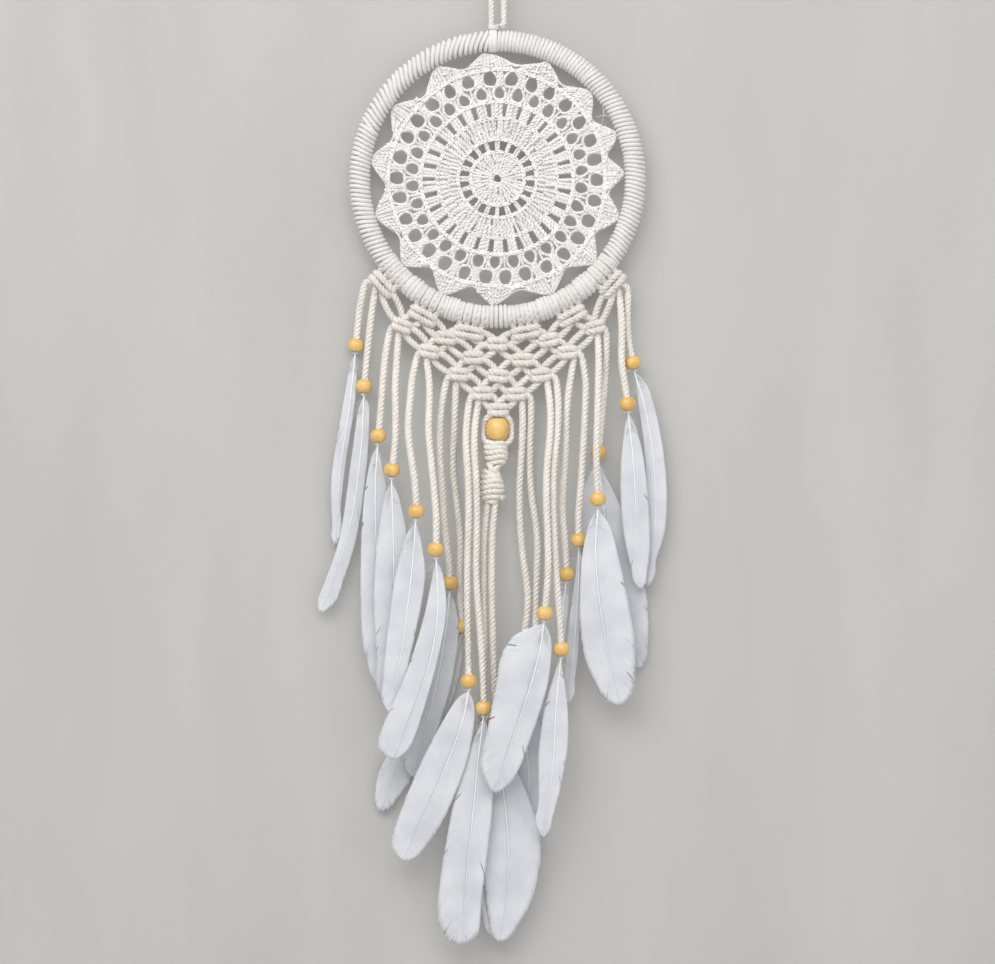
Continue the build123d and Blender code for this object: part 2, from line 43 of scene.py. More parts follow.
# hoop, cords and net, as in the CAD model; metres, and degrees clockwise from the top for angles
HOOP_Z = -0.143
HOOP_RADIUS = 0.091
WRAP_RADIUS = 0.0061
CORD_RADIUS = 0.0025
LOOP_RADIUS = 0.00215
MOUNT_ANGLES = (-47.5, -28.5, -10.5, 10.5, 28.5, 47.5)
TURN_PITCH_DEG = 3.46
TURNS_PER_KNOT = 4
TIP_ANGLES = (-4, 22, 47, 69, 88, 108, 131, 155, 182, 205, 227, 253, 279, 305, 331)
TIE_ANGLES = (22, 47, 69, 88, 108, 182, 253, 279, 305, 331)
FIRST_ROW_RADIUS = 0.1031
KNOT_ROWS = (
    ((-0.063, -0.24), (-0.034, -0.248), (0, -0.252), (0.034, -0.2495), (0.0645, -0.241)),
    ((-0.045, -0.257), (-0.016, -0.261), (0.0165, -0.2625), (0.046, -0.2575)),
    ((-0.0255, -0.272), (0.0005, -0.273), (0.0285, -0.2725)),
    ((-0.01, -0.2845), (0.0125, -0.285)),
    ((0.0005, -0.2955),),
)
BIG_BEAD_Z = -0.3084
WALL_Y = 0.0127
FLOOR_Z = -0.9

# radii of the cords that make knots, and the length in which a cord's plies turn once
KNOT_CORD = 0.0026
NET_CORD = 0.00245
MOUNT_CORD = 0.0031
SINNET_CORD = 0.00215
CORD_PITCH = 0.009
KNOT_PITCH = 0.0085
PLY_SHARE = {2: 0.62, 3: 0.58}

# turns round the hoop: radius of each kind, the winding's yarn and the points in one of its turns
MOUNT_RADIUS = 0.0043
LOOP_TURN_RADIUS = 0.0069
WINDING_YARN = 0.00156
TURN_STEPS = 26

# beads: largest radius, radius at the ends, length and radius of the bore
BEAD = (0.0054, 0.0032, 0.0085, 0.0022)
BIG_BEAD = (0.0078, 0.0046, 0.0146, 0.003)

# sinnet: height and reach of each half knot, in its two bulges
SINNET_UPPER = ((-0.3178, 0.0058), (-0.3209, 0.0062), (-0.324, 0.0064), (-0.3271, 0.0058), (-0.3302, 0.0044))
SINNET_LOWER = (
    (-0.3372, 0.0042), (-0.3402, 0.0054), (-0.3433, 0.0064), (-0.3464, 0.0068), (-0.3495, 0.0067),
    (-0.3525, 0.0057), (-0.3552, 0.0038),
)

# doily: reach of its tips, holes in a round, posts in half a fan, tying thread and depth of the back layer
TOP_TIP_REACH = 0.0822
TIP_REACH = 0.0844
MESH_HOLES = 30
INNER_SLOTS = 20
FAN_POSTS = 12
THREAD_RADIUS = 0.0004
BACK_LAYER = 0.0009

# feathers: distance between rows of barbs, points across a vane and the vane's thickness
BARB_STEP = 0.00075
BARB_POINTS = 8
VANE_THICKNESS = 0.00024

FRONT = (0, -1, 0)

# route of the hanging loop's cord, in metres
LOOP_ROUTE = (
    (-0.00415, 0, -0.0422), (-0.00415, 0, -0.024), (-0.00415, 0, -0.0062), (-0.00415, 0, 0.00215),
    (0.00415, 0, 0.00215), (0.00415, 0, -0.0062), (0.00415, 0, -0.022), (0.00415, 0, -0.038),
)

# fringe cords: route of each strand from its knot to the middle of its bead
STRANDS = {
    "l1a": ((-0.0875, 0.0005, -0.2125), (-0.0905, 0.002, -0.223), (-0.0922, 0.0055, -0.238),
        (-0.0937, 0.0055, -0.2527)),
    "l1b": ((-0.0814, 0.0005, -0.2199), (-0.0835, 0.0015, -0.233), (-0.086, 0.0035, -0.257),
        (-0.0881, 0.0035, -0.2798)),
    "l2a": ((-0.0715, 0, -0.245), (-0.074, -0.001, -0.257), (-0.0756, -0.003, -0.276),
        (-0.0768, -0.003, -0.296), (-0.0785, -0.003, -0.3128)),
    "l2b": ((-0.0655, 0, -0.2476), (-0.0663, -0.002, -0.26), (-0.0676, -0.006, -0.281),
        (-0.0668, -0.009, -0.302), (-0.0672, -0.01, -0.32), (-0.0693, -0.01, -0.3352)),
    "l3a": ((-0.0535, -0.001, -0.2618), (-0.0565, -0.004, -0.274), (-0.0575, -0.009, -0.29),
        (-0.0592, -0.014, -0.308), (-0.0565, -0.017, -0.328), (-0.0536, -0.018, -0.346),
        (-0.0532, -0.018, -0.3623)),
    "l3b": ((-0.0465, -0.001, -0.2648), (-0.0446, -0.004, -0.277), (-0.0449, -0.009, -0.293),
        (-0.0456, -0.014, -0.31), (-0.0433, -0.018, -0.331), (-0.041, -0.02, -0.354),
        (-0.0398, -0.02, -0.372), (-0.0404, -0.02, -0.3873)),
    "l4a": ((-0.034, 0, -0.2776), (-0.037, 0.0003, -0.29), (-0.0384, 0.0005, -0.309),
        (-0.0378, 0.0005, -0.331), (-0.036, 0.0005, -0.354), (-0.0346, 0.0005, -0.378),
        (-0.0322, 0.0005, -0.395), (-0.0315, 0.0005, -0.4098)),
    "l4b": ((-0.0275, 0.0005, -0.28), (-0.0282, 0.0015, -0.292), (-0.0284, 0.004, -0.31),
        (-0.0304, 0.0065, -0.332), (-0.027, 0.0065, -0.358), (-0.0242, 0.0065, -0.384),
        (-0.0258, 0.0065, -0.408), (-0.0248, 0.0065, -0.425), (-0.0241, 0.0065, -0.4388)),
    "l5a": ((-0.0188, -0.001, -0.2908), (-0.0206, -0.004, -0.303), (-0.0209, -0.0085, -0.32),
        (-0.0194, -0.012, -0.339), (-0.0189, -0.0135, -0.366), (-0.0202, -0.0135, -0.401),
        (-0.0198, -0.0135, -0.438), (-0.0189, -0.0135, -0.4738)),
    "l5b": ((-0.0132, -0.001, -0.2938), (-0.0152, -0.004, -0.306), (-0.0155, -0.008, -0.322),
        (-0.014, -0.011, -0.341), (-0.0135, -0.012, -0.37), (-0.0145, -0.012, -0.404),
        (-0.0118, -0.012, -0.437), (-0.0097, -0.012, -0.466), (-0.0091, -0.012, -0.4916)),
    "c1": ((-0.0067, -0.001, -0.3566), (-0.0088, -0.0015, -0.371), (-0.0094, -0.002, -0.397),
        (-0.0091, -0.002, -0.428), (-0.0086, -0.002, -0.459), (-0.0102, -0.002, -0.489),
        (-0.0115, -0.002, -0.5167)),
    "c2": ((-0.0014, -0.001, -0.3566), (-0.0034, -0.002, -0.371), (-0.004, -0.004, -0.397),
        (-0.0038, -0.004, -0.428), (-0.0028, -0.004, -0.456), (-0.0022, -0.004, -0.48),
        (-0.0017, -0.004, -0.5015)),
    "r5a": ((0.0162, 0, -0.291), (0.0168, 0.001, -0.303), (0.016, 0.002, -0.322), (0.014, 0.0035, -0.352),
        (0.0158, 0.0035, -0.387), (0.0198, 0.0035, -0.412), (0.02, 0.0035, -0.431),
        (0.0165, 0.0035, -0.449)),
    "r5b": ((0.0222, 0, -0.29), (0.0223, 0.002, -0.302), (0.0211, 0.0045, -0.321), (0.0216, 0.006, -0.348),
        (0.0266, 0.006, -0.377), (0.0262, 0.006, -0.401), (0.0247, 0.006, -0.427), (0.0252, 0.006, -0.45),
        (0.026, 0.006, -0.47)),
    "r4a": ((0.033, -0.001, -0.2786), (0.035, -0.005, -0.292), (0.0348, -0.011, -0.311),
        (0.0322, -0.017, -0.333), (0.0318, -0.021, -0.356), (0.033, -0.0215, -0.38),
        (0.0332, -0.0215, -0.406), (0.0308, -0.0215, -0.4289)),
    "r4b": ((0.0389, -0.001, -0.277), (0.0404, -0.004, -0.29), (0.0395, -0.008, -0.31),
        (0.0367, -0.013, -0.332), (0.0362, -0.017, -0.356), (0.0372, -0.0175, -0.382),
        (0.0388, -0.0175, -0.409), (0.0408, -0.0175, -0.434), (0.0419, -0.0175, -0.4527)),
    "r3a": ((0.0502, 0, -0.2636), (0.0478, -0.0005, -0.276), (0.0454, -0.001, -0.295),
        (0.045, -0.002, -0.324), (0.0422, -0.002, -0.36), (0.045, -0.002, -0.386),
        (0.0455, -0.002, -0.4038)),
    "r3b": ((0.0559, 0, -0.2618), (0.0586, -0.001, -0.274), (0.058, -0.002, -0.293),
        (0.0566, -0.003, -0.319), (0.0549, -0.003, -0.347), (0.0528, -0.003, -0.367),
        (0.0535, -0.003, -0.3814)),
    "r2a": ((0.0662, -0.001, -0.2486), (0.0669, -0.004, -0.261), (0.0662, -0.008, -0.28),
        (0.0656, -0.011, -0.304), (0.0645, -0.011, -0.33), (0.0659, -0.011, -0.3543)),
    "r2b": ((0.072, 0, -0.247), (0.0719, 0.0015, -0.259), (0.0708, 0.0035, -0.279), (0.069, 0.005, -0.302),
        (0.0667, 0.005, -0.3233)),
    "r1a": ((0.0863, 0.001, -0.2176), (0.0855, 0.0023, -0.231), (0.086, 0.0023, -0.248),
        (0.0893, 0.0023, -0.2643)),
    "r1b": ((0.0807, 0, -0.2218), (0.0818, -0.003, -0.233), (0.082, -0.003, -0.249),
        (0.0815, -0.003, -0.264), (0.084, -0.003, -0.279), (0.0857, -0.003, -0.2916)),
}

# feathers, as (x, z): the first barbs, the tip, and then left edge, rachis and right edge between them
FEATHERS = {
    "l1a": ((-0.0945, -0.261), (-0.107, -0.385),
        ((-0.0975, -0.266), (-0.102, -0.29), (-0.11, -0.34), (-0.1095, -0.372)),
        ((-0.0975, -0.29), (-0.104, -0.335)),
        ((-0.093, -0.27), (-0.095, -0.296), (-0.101, -0.335), (-0.104, -0.366))),
    "l1b": ((-0.0885, -0.2885), (-0.117, -0.4295),
        ((-0.0925, -0.298), (-0.097, -0.33), (-0.1045, -0.38), (-0.1155, -0.412)),
        ((-0.09, -0.32), (-0.096, -0.365), (-0.107, -0.405)),
        ((-0.0848, -0.294), (-0.0855, -0.322), (-0.089, -0.356), (-0.0935, -0.382), (-0.102, -0.409))),
    "l2a": ((-0.0795, -0.3215), (-0.0775, -0.476),
        ((-0.084, -0.33), (-0.0885, -0.358), (-0.0903, -0.4), (-0.0895, -0.443), (-0.086, -0.462)),
        ((-0.0805, -0.35), (-0.0795, -0.4), (-0.079, -0.445)),
        ((-0.0765, -0.331), (-0.0715, -0.355), (-0.0665, -0.395), (-0.068, -0.445))),
    "l2b": ((-0.07, -0.344), (-0.071, -0.49),
        ((-0.0745, -0.355), (-0.079, -0.381), (-0.0815, -0.421), (-0.0795, -0.46)),
        ((-0.0685, -0.38), (-0.068, -0.43), (-0.0695, -0.465)),
        ((-0.064, -0.356), (-0.0585, -0.385), (-0.056, -0.425), (-0.061, -0.468))),
    "l3a": ((-0.054, -0.371), (-0.07, -0.495),
        ((-0.06, -0.379), (-0.067, -0.405), (-0.072, -0.44), (-0.0755, -0.474)),
        ((-0.056, -0.4), (-0.061, -0.44), (-0.0665, -0.475)),
        ((-0.0505, -0.38), (-0.0472, -0.402), (-0.05, -0.424), (-0.055, -0.448), (-0.062, -0.48))),
    "l3b": ((-0.04, -0.396), (-0.068, -0.5245),
        ((-0.043, -0.407), (-0.049, -0.434), (-0.0595, -0.467), (-0.072, -0.495), (-0.0785, -0.514)),
        ((-0.039, -0.425), (-0.043, -0.455), (-0.052, -0.485), (-0.062, -0.51)),
        ((-0.0355, -0.405), (-0.0335, -0.428), (-0.038, -0.454), (-0.045, -0.481), (-0.0535, -0.508))),
    "l4a": ((-0.032, -0.4185), (-0.056, -0.538),
        ((-0.0385, -0.432), (-0.046, -0.46), (-0.0555, -0.493), (-0.061, -0.518)),
        ((-0.034, -0.44), (-0.039, -0.47), (-0.047, -0.505)),
        ((-0.028, -0.424), (-0.0256, -0.441), (-0.028, -0.464), (-0.033, -0.487), (-0.042, -0.515))),
    "l4b": ((-0.025, -0.4475), (-0.077, -0.561),
        ((-0.033, -0.46), (-0.048, -0.485), (-0.0655, -0.512), (-0.078, -0.534), (-0.081, -0.549)),
        ((-0.032, -0.474), (-0.048, -0.502), (-0.065, -0.53)),
        ((-0.0235, -0.458), (-0.028, -0.481), (-0.039, -0.508), (-0.053, -0.534), (-0.066, -0.553))),
    "l5a": ((-0.019, -0.4825), (-0.062, -0.5915),
        ((-0.027, -0.486), (-0.037, -0.502), (-0.05, -0.527), (-0.0625, -0.556), (-0.0696, -0.579)),
        ((-0.023, -0.5), (-0.032, -0.525), (-0.044, -0.553), (-0.054, -0.573)),
        ((-0.0155, -0.489), (-0.0154, -0.503), (-0.02, -0.527), (-0.03, -0.553), (-0.0395, -0.572),
         (-0.051, -0.587))),
    "l5b": ((-0.0095, -0.5003), (-0.023, -0.6467),
        ((-0.014, -0.509), (-0.0195, -0.522), (-0.0275, -0.548), (-0.033, -0.575), (-0.0375, -0.603),
         (-0.0393, -0.628), (-0.034, -0.6415)),
        ((-0.013, -0.53), (-0.017, -0.57), (-0.021, -0.61)),
        ((-0.005, -0.51), (-0.003, -0.535), (-0.0035, -0.56), (-0.007, -0.59), (-0.0105, -0.62),
         (-0.012, -0.637))),
    "c1": ((-0.011, -0.5255), (0.001, -0.646),
        ((-0.015, -0.536), (-0.018, -0.562), (-0.018, -0.595), (-0.011, -0.625)),
        ((-0.007, -0.555), (-0.003, -0.59), (-0.0005, -0.62)),
        ((-0.004, -0.536), (0.006, -0.555), (0.013, -0.58), (0.0135, -0.608), (0.008, -0.633))),
    "c2": ((-0.0012, -0.5103), (0.0015, -0.646),
        ((-0.005, -0.519), (-0.0075, -0.53), (-0.011, -0.55), (-0.012, -0.58), (-0.0085, -0.612),
         (-0.005, -0.636)),
        ((0.003, -0.54), (0.007, -0.58), (0.006, -0.615)),
        ((0.005, -0.52), (0.016, -0.54), (0.0245, -0.562), (0.0285, -0.58), (0.0278, -0.598),
         (0.023, -0.618), (0.0125, -0.637))),
    "r5a": ((0.0158, -0.4575), (0.022, -0.5845),
        ((0.0125, -0.468), (0.0105, -0.5), (0.0105, -0.53), (0.0155, -0.563)),
        ((0.017, -0.49), (0.02, -0.525), (0.021, -0.56)),
        ((0.0188, -0.466), (0.02, -0.479), (0.0285, -0.505), (0.0315, -0.54), (0.028, -0.568))),
    "r5b": ((0.0263, -0.4788), (0.025, -0.58),
        ((0.0215, -0.49), (0.018, -0.515), (0.019, -0.548)),
        ((0.027, -0.505), (0.028, -0.54)),
        ((0.031, -0.49), (0.0355, -0.513), (0.0358, -0.54), (0.031, -0.565))),
    "r4a": ((0.03, -0.4376), (-0.003, -0.546),
        ((0.019, -0.4395), (0.0095, -0.445), (0.0025, -0.457), (-0.002, -0.481), (-0.007, -0.506)),
        ((0.028, -0.452), (0.022, -0.475), (0.014, -0.5), (0.005, -0.525)),
        ((0.034, -0.442), (0.0354, -0.452), (0.0335, -0.473), (0.027, -0.496), (0.015, -0.529))),
    "r4b": ((0.041, -0.4613), (0.0295, -0.576),
        ((0.037, -0.47), (0.031, -0.49), (0.027, -0.52), (0.027, -0.552)),
        ((0.0385, -0.49), (0.0365, -0.525), (0.033, -0.555)),
        ((0.0435, -0.472), (0.046, -0.492), (0.046, -0.517), (0.0415, -0.543), (0.036, -0.564))),
    "r3a": ((0.0448, -0.4125), (0.0415, -0.461),
        ((0.042, -0.419), (0.04, -0.434), (0.0405, -0.45)),
        ((0.0435, -0.425), (0.0425, -0.442)),
        ((0.047, -0.418), (0.046, -0.432), (0.0443, -0.449))),
    "r3b": ((0.0538, -0.39), (0.0465, -0.489),
        ((0.0519, -0.396), (0.0514, -0.405), (0.0485, -0.425), (0.0455, -0.45), (0.0435, -0.472)),
        ((0.0535, -0.41), (0.0515, -0.44), (0.0485, -0.47)),
        ((0.0563, -0.396), (0.056, -0.42), (0.054, -0.448), (0.051, -0.474))),
    "r2a": ((0.066, -0.363), (0.081, -0.4895),
        ((0.06, -0.371), (0.0555, -0.393), (0.054, -0.427), (0.057, -0.457), (0.066, -0.478)),
        ((0.0645, -0.39), (0.0675, -0.425), (0.073, -0.458)),
        ((0.075, -0.375), (0.084, -0.412), (0.09, -0.446), (0.0903, -0.468))),
    "r2b": ((0.067, -0.332), (0.093, -0.466),
        ((0.059, -0.341), (0.0535, -0.365), (0.057, -0.398), (0.07, -0.435)),
        ((0.07, -0.36), (0.077, -0.4), (0.087, -0.44)),
        ((0.073, -0.342), (0.082, -0.36), (0.094, -0.394), (0.0995, -0.427), (0.0993, -0.453))),
    "r1a": ((0.0915, -0.273), (0.0985, -0.412),
        ((0.092, -0.281), (0.0935, -0.295), (0.0965, -0.318), (0.098, -0.35), (0.0965, -0.382)),
        ((0.0975, -0.295), (0.103, -0.33), (0.104, -0.37)),
        ((0.0965, -0.276), (0.102, -0.287), (0.1085, -0.315), (0.112, -0.348), (0.1108, -0.375),
         (0.105, -0.395))),
    "r1b": ((0.0868, -0.3), (0.0945, -0.4135),
        ((0.0835, -0.31), (0.0812, -0.335), (0.0815, -0.36), (0.084, -0.383), (0.088, -0.4)),
        ((0.0895, -0.33), (0.0915, -0.365), (0.0925, -0.395)),
        ((0.0915, -0.308), (0.0963, -0.327), (0.0995, -0.356), (0.1007, -0.384), (0.0985, -0.404))),
}


def add_camera():
    """A level camera with a long lens, straight in front."""
    data = bpy.data.cameras.new("camera")
    data.sensor_width = 36
    data.lens = 137.05
    camera = bpy.data.objects.new("camera", data)
    camera.location = (0, -2.5, -0.3431)
    camera.rotation_euler = (radians(90), 0, 0)
    bpy.context.scene.collection.objects.link(camera)
    bpy.context.scene.camera = camera


def unit(vectors):
    """Vectors scaled to length one."""
    vectors = np.asarray(vectors, float)
    return vectors / np.maximum(np.linalg.norm(vectors, axis=-1, keepdims=True), 1e-12)


def tangents(points, closed):
    """Direction of a line at each of its points."""
    if closed:
        return unit(np.roll(points, -1, 0) - np.roll(points, 1, 0))
    return unit(np.gradient(points, axis=0))


def lengths_along(points):
    """Distance from the start of a line at each of its points."""
    steps = np.linalg.norm(np.diff(points, axis=0), axis=1)
    return np.concatenate([[0], np.cumsum(steps)])


def square_frame(points, reference, closed=False):
    """Two directions across a line at each point, the first as near the reference as it can be."""
    along = tangents(points, closed)
    reference = np.broadcast_to(np.asarray(reference, float), points.shape)
    first = unit(reference - (reference * along).sum(1, keepdims=True) * along)
    return first, np.cross(along, first)


def smooth_line(points, spacing=0.0009):
    """A Catmull-Rom curve through points, in steps of about the spacing."""
    points = [Vector(point) for point in points]
    line = []
    for index in range(len(points) - 1):
        p1, p2 = points[index], points[index + 1]
        p0 = points[index - 1] if index else p1 * 2 - p2
        p3 = points[index + 2] if index + 2 < len(points) else p2 * 2 - p1
        steps = max(2, ceil((p2 - p1).length / spacing))
        for step in range(steps):
            t = step / steps
            line.append(0.5 * (2 * p1 + (p2 - p0) * t + (2 * p0 - 5 * p1 + 4 * p2 - p3) * t * t
                               + (3 * p1 - p0 - 3 * p2 + p3) * t * t * t))
    line.append(points[-1])
    return np.array([tuple(point) for point in line])


def any_way():
    """A random direction, not scaled."""
    return Vector([rng.gauss(0, 1) for axis in range(3)])


def on_hoop(radius, angle, depth=0.0):
    """A point in the hoop's plane, angle in degrees clockwise from the top seen from the front."""
    turn = radians(angle)
    return np.array((radius * sin(turn), depth, HOOP_Z + radius * cos(turn)))


def quads(rows, sides, closed):
    """Faces between neighbouring rows of points round a tube, each with its row and span of the way round."""
    for row in range(rows if closed else rows - 1):
        ahead = (row + 1) % rows
        for side in range(sides):
            beside = (side + 1) % sides
            corners = (row * sides + side, row * sides + beside, ahead * sides + beside, ahead * sides + side)
            yield row, side / sides, (side + 1) / sides, corners


class Pieces:
    """Collects tubes and surfaces, and makes one mesh object of them."""

    def __init__(self):
        self.points = []
        self.faces = []
        self.uvs = []
        self.slots = []

    def add(self, points, faces, uvs, slot=0):
        """A set of points, faces by index into them, and one (u, v) per face corner."""
        first = len(self.points)
        self.points.extend(map(tuple, points))
        for face in faces:
            self.faces.append([first + index for index in face])
            self.slots.append(slot)
        self.uvs.extend(uvs)

    def tube(self, line, reference, radius, sides=7, closed=False, slot=0, flat=1.0):
        """A round tube along a line; radius may vary along it, and flat squeezes it across the reference."""
        line = np.asarray(line, float)
        count = len(line)
        first, second = square_frame(line, reference, closed)
        radius = np.broadcast_to(radius, (count,))[:, None, None]
        turn = (np.arange(sides) * 2 * pi / sides)[None, :, None]
        ring = first[:, None] * np.cos(turn) + second[:, None] * np.sin(turn) * flat
        points = (line[:, None] + ring * radius).reshape(-1, 3)
        along = lengths_along(np.vstack([line, line[:1]]) if closed else line)
        faces = []
        uvs = []
        for row, u0, u1, corners in quads(count, sides, closed):
            faces.append(corners)
            v0, v1 = along[row], along[row + 1]
            uvs.extend(((u0, v0), (u1, v0), (u1, v1), (u0, v1)))
        if not closed:
            faces.append(tuple(reversed(range(sides))))
            faces.append(tuple(range((count - 1) * sides, count * sides)))
            uvs.extend([(0, 0)] * sides + [(0, along[-1])] * sides)
        self.add(points, faces, uvs, slot)

    def twist(self, line, reference, radius, pitch, plies=3, phase=0.0, closed=False, sides=7):
        """A twisted cord along a line: plies that wind round it, right-handed."""
        line = np.asarray(line, float)
        first, second = square_frame(line, reference, closed)
        along = lengths_along(np.vstack([line, line[:1]]) if closed else line)
        turns = along[-1] / pitch
        if closed:
            turns = max(1, round(turns))
        angle = phase + 2 * pi * turns * along[:len(line)] / along[-1]
        ply = PLY_SHARE[plies] * radius
        for index in range(plies):
            turn = (angle + 2 * pi * index / plies)[:, None]
            outward = first * np.cos(turn) + second * np.sin(turn)
            self.tube(line + outward * (radius - ply), outward, ply, sides, closed)
        return angle[-1]

    def fibre(self, start, direction, length, radius, slot=0):
        """A short loose fibre with a bend."""
        start = Vector(start)
        direction = Vector(direction).normalized()
        side = Vector((rng.uniform(-1, 1), rng.uniform(-1, 1), rng.uniform(-1, 1))) * length * 0.35
        line = [start, start + direction * length * 0.4 + side * 0.3, start + direction * length * 0.8 + side,
                start + direction * length + side * 1.7]
        line = np.array([tuple(point) for point in line])
        reference = (0.31, 0.87, 0.38)
        self.tube(line, reference, np.array((radius, radius, radius * 0.8, radius * 0.3)), 3, slot=slot)

    def fuzz(self, line, radius, per_metre):
        """Loose fibres standing off a cord."""
        line = np.asarray(line, float)
        along = tangents(line, False)
        total = lengths_along(line)[-1]
        for index in range(int(total * per_metre)):
            at = rng.randrange(len(line))
            around = any_way()
            axis = Vector(along[at])
            outward = (around - axis * around.dot(axis)).normalized()
            start = Vector(line[at]) + outward * radius * 0.85
            self.fibre(start, axis * rng.choice((-1, 1)) + outward * rng.uniform(0.15, 0.6),
                       rng.uniform(0.001, 0.0022), 0.00006)

    def make(self, name, materials, body, slot):
        """One mesh object that rides on a body."""
        mesh = bpy.data.meshes.new(name)
        mesh.from_pydata(self.points, [], self.faces)
        layer = mesh.uv_layers.new(name="UVMap")
        layer.data.foreach_set("uv", np.array(self.uvs, np.float32).ravel())
        for material in materials:
            mesh.materials.append(material)
        mesh.polygons.foreach_set("material_index", self.slots)
        mesh.polygons.foreach_set("use_smooth", [True] * len(self.faces))
        mesh.update()
        obj = bpy.data.objects.new(name, mesh)
        bpy.context.scene.collection.objects.link(obj)
        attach(obj, body)
        return obj


class Paint:
    """A Principled material, with short ways to add the nodes that feed it."""

    def __init__(self, name, colour, roughness, sheen=0.0, coat=0.0, specular=0.5):
        self.material = bpy.data.materials.new(name)
        self.material.use_nodes = True
        self.nodes = self.material.node_tree.nodes
        self.links = self.material.node_tree.links
        self.shader = self.nodes["Principled BSDF"]
        self.shader.inputs["Base Color"].default_value = (*colour, 1)
        self.shader.inputs["Roughness"].default_value = roughness
        self.shader.inputs["Sheen Weight"].default_value = sheen
        self.shader.inputs["Sheen Roughness"].default_value = 0.5
        self.shader.inputs["Coat Weight"].default_value = coat
        self.shader.inputs["Coat Roughness"].default_value = 0.25
        self.shader.inputs["Specular IOR Level"].default_value = specular
        self.coordinates = self.nodes.new("ShaderNodeTexCoord")

    def noise(self, scale, detail, stretch=(1, 1, 1)):
        """A noise texture's value in the object's space, stretched by a mapping."""
        mapping = self.nodes.new("ShaderNodeMapping")
        mapping.inputs["Scale"].default_value = stretch
        self.links.new(self.coordinates.outputs["Object"], mapping.inputs["Vector"])
        texture = self.nodes.new("ShaderNodeTexNoise")
        texture.inputs["Scale"].default_value = scale
        texture.inputs["Detail"].default_value = detail
        self.links.new(mapping.outputs["Vector"], texture.inputs["Vector"])
        return texture.outputs["Fac"]

    def surface(self):
        """The two surface coordinates of a mesh: across it and along it."""
        split = self.nodes.new("ShaderNodeSeparateXYZ")
        self.links.new(self.coordinates.outputs["UV"], split.inputs["Vector"])
        return split.outputs["X"], split.outputs["Y"]

    def math(self, operation, *values):
        """A math node on sockets or numbers."""
        node = self.nodes.new("ShaderNodeMath")
        node.operation = operation
        for socket, value in zip(node.inputs, values):
            if isinstance(value, (int, float)):
                socket.default_value = value
            else:
                self.links.new(value, socket)
        return node.outputs["Value"]

    def blend(self, *parts):
        """The sum of values, each times its share."""
        total = None
        for value, share in parts:
            part = value if share == 1 else self.math("MULTIPLY", value, share)
            total = part if total is None else self.math("ADD", total, part)
        return total

    def colour(self, value, *stops):
        """Base colour by a ramp of (position, colour) stops."""
        node = self.nodes.new("ShaderNodeValToRGB")
        elements = node.color_ramp.elements
        while len(elements) < len(stops):
            elements.new(0.5)
        for element, (position, shade) in zip(elements, stops):
            element.position = position
            element.color = (*shade, 1)
        self.links.new(value, node.inputs["Fac"])
        self.links.new(node.outputs["Color"], self.shader.inputs["Base Color"])

    def bump(self, height, strength, distance):
        """A bump from a height value into the shader's normal."""
        node = self.nodes.new("ShaderNodeBump")
        node.inputs["Strength"].default_value = strength
        node.inputs["Distance"].default_value = distance
        self.links.new(height, node.inputs["Height"])
        self.links.new(node.outputs["Normal"], self.shader.inputs["Normal"])

    def rough(self, value, share, least):
        """Roughness that follows a value."""
        self.links.new(self.math("MULTIPLY_ADD", value, share, least), self.shader.inputs["Roughness"])


def cotton(name, light, dark, yarns, pitch, tint):
    """Cotton yarn: slanted yarn stripes, fine fibres and soft uneven colour; the stripes also darken the
    colour in their grooves, as painted shade.
    """
    paint = Paint(name, light, 0.85, sheen=0.25, specular=0.25)
    across, along = paint.surface()
    slant = paint.blend((across, 2 * pi * yarns), (along, 2 * pi / pitch))
    yarn = paint.math("MULTIPLY_ADD", paint.math("SINE", slant), 0.5, 0.5)
    fine = paint.noise(2600, 5)
    patch = paint.noise(130, 3)
    lumps = paint.noise(620, 3)
    paint.bump(paint.blend((yarn, 0.55), (fine, 1), (lumps, 1)), 0.65, 0.00022)
    # painted shade: the yarn stripe darkens the colour where its bump is low, in the grooves between the
    # yarns; the noises are the cotton's own uneven tone
    value = paint.blend((yarn, 0.22), (fine, 0.45), (patch, 0.6))
    paint.colour(value, (0.3, dark), (0.62, tint), (0.82, light))
    paint.rough(fine, 0.2, 0.75)
    return paint.material


def wood():
    """Honey-yellow turned wood with fine grain along the bead and a soft lacquer."""
    paint = Paint("bead_wood", (0.84, 0.55, 0.17), 0.42, coat=0.35, specular=0.5)
    grain = paint.noise(900, 6, (1, 1, 0.12))
    broad = paint.noise(95, 3, (1, 1, 0.5))
    value = paint.blend((grain, 0.5), (broad, 0.5))
    paint.colour(value, (0.34, (0.66, 0.37, 0.1)), (0.47, (0.76, 0.47, 0.14)), (0.62, (0.82, 0.55, 0.21)))
    paint.bump(grain, 0.25, 0.0001)
    paint.rough(broad, 0.25, 0.3)
    return paint.material


def vane_material():
    """White feather with a faint blue-grey tone, painted shade between the barbs and painted light towards
    its edges.
    """
    paint = Paint("feather_vane", (0.86, 0.88, 0.91), 0.55, sheen=0.2, specular=0.35)
    across, along = paint.surface()
    barbs = paint.math("SINE", paint.math("MULTIPLY", along, 2 * pi / 0.0011))
    patch = paint.noise(60, 4)
    fine = paint.noise(700, 4)
    # painted shade and light: the barb wave darkens the colour where its bump is low, and across lightens it
    # towards the edge of the vane
    value = paint.blend((barbs, 0.05), (patch, 0.75), (fine, 0.2), (across, 0.1))
    shades = ((0.3, (0.535, 0.553, 0.592)), (0.5, (0.608, 0.623, 0.656)), (0.72, (0.69, 0.697, 0.72)))
    paint.colour(value, *shades)
    paint.bump(paint.math("MULTIPLY", barbs, 0.5), 0.18, 0.0001)
    paint.rough(patch, 0.3, 0.42)
    return paint.material


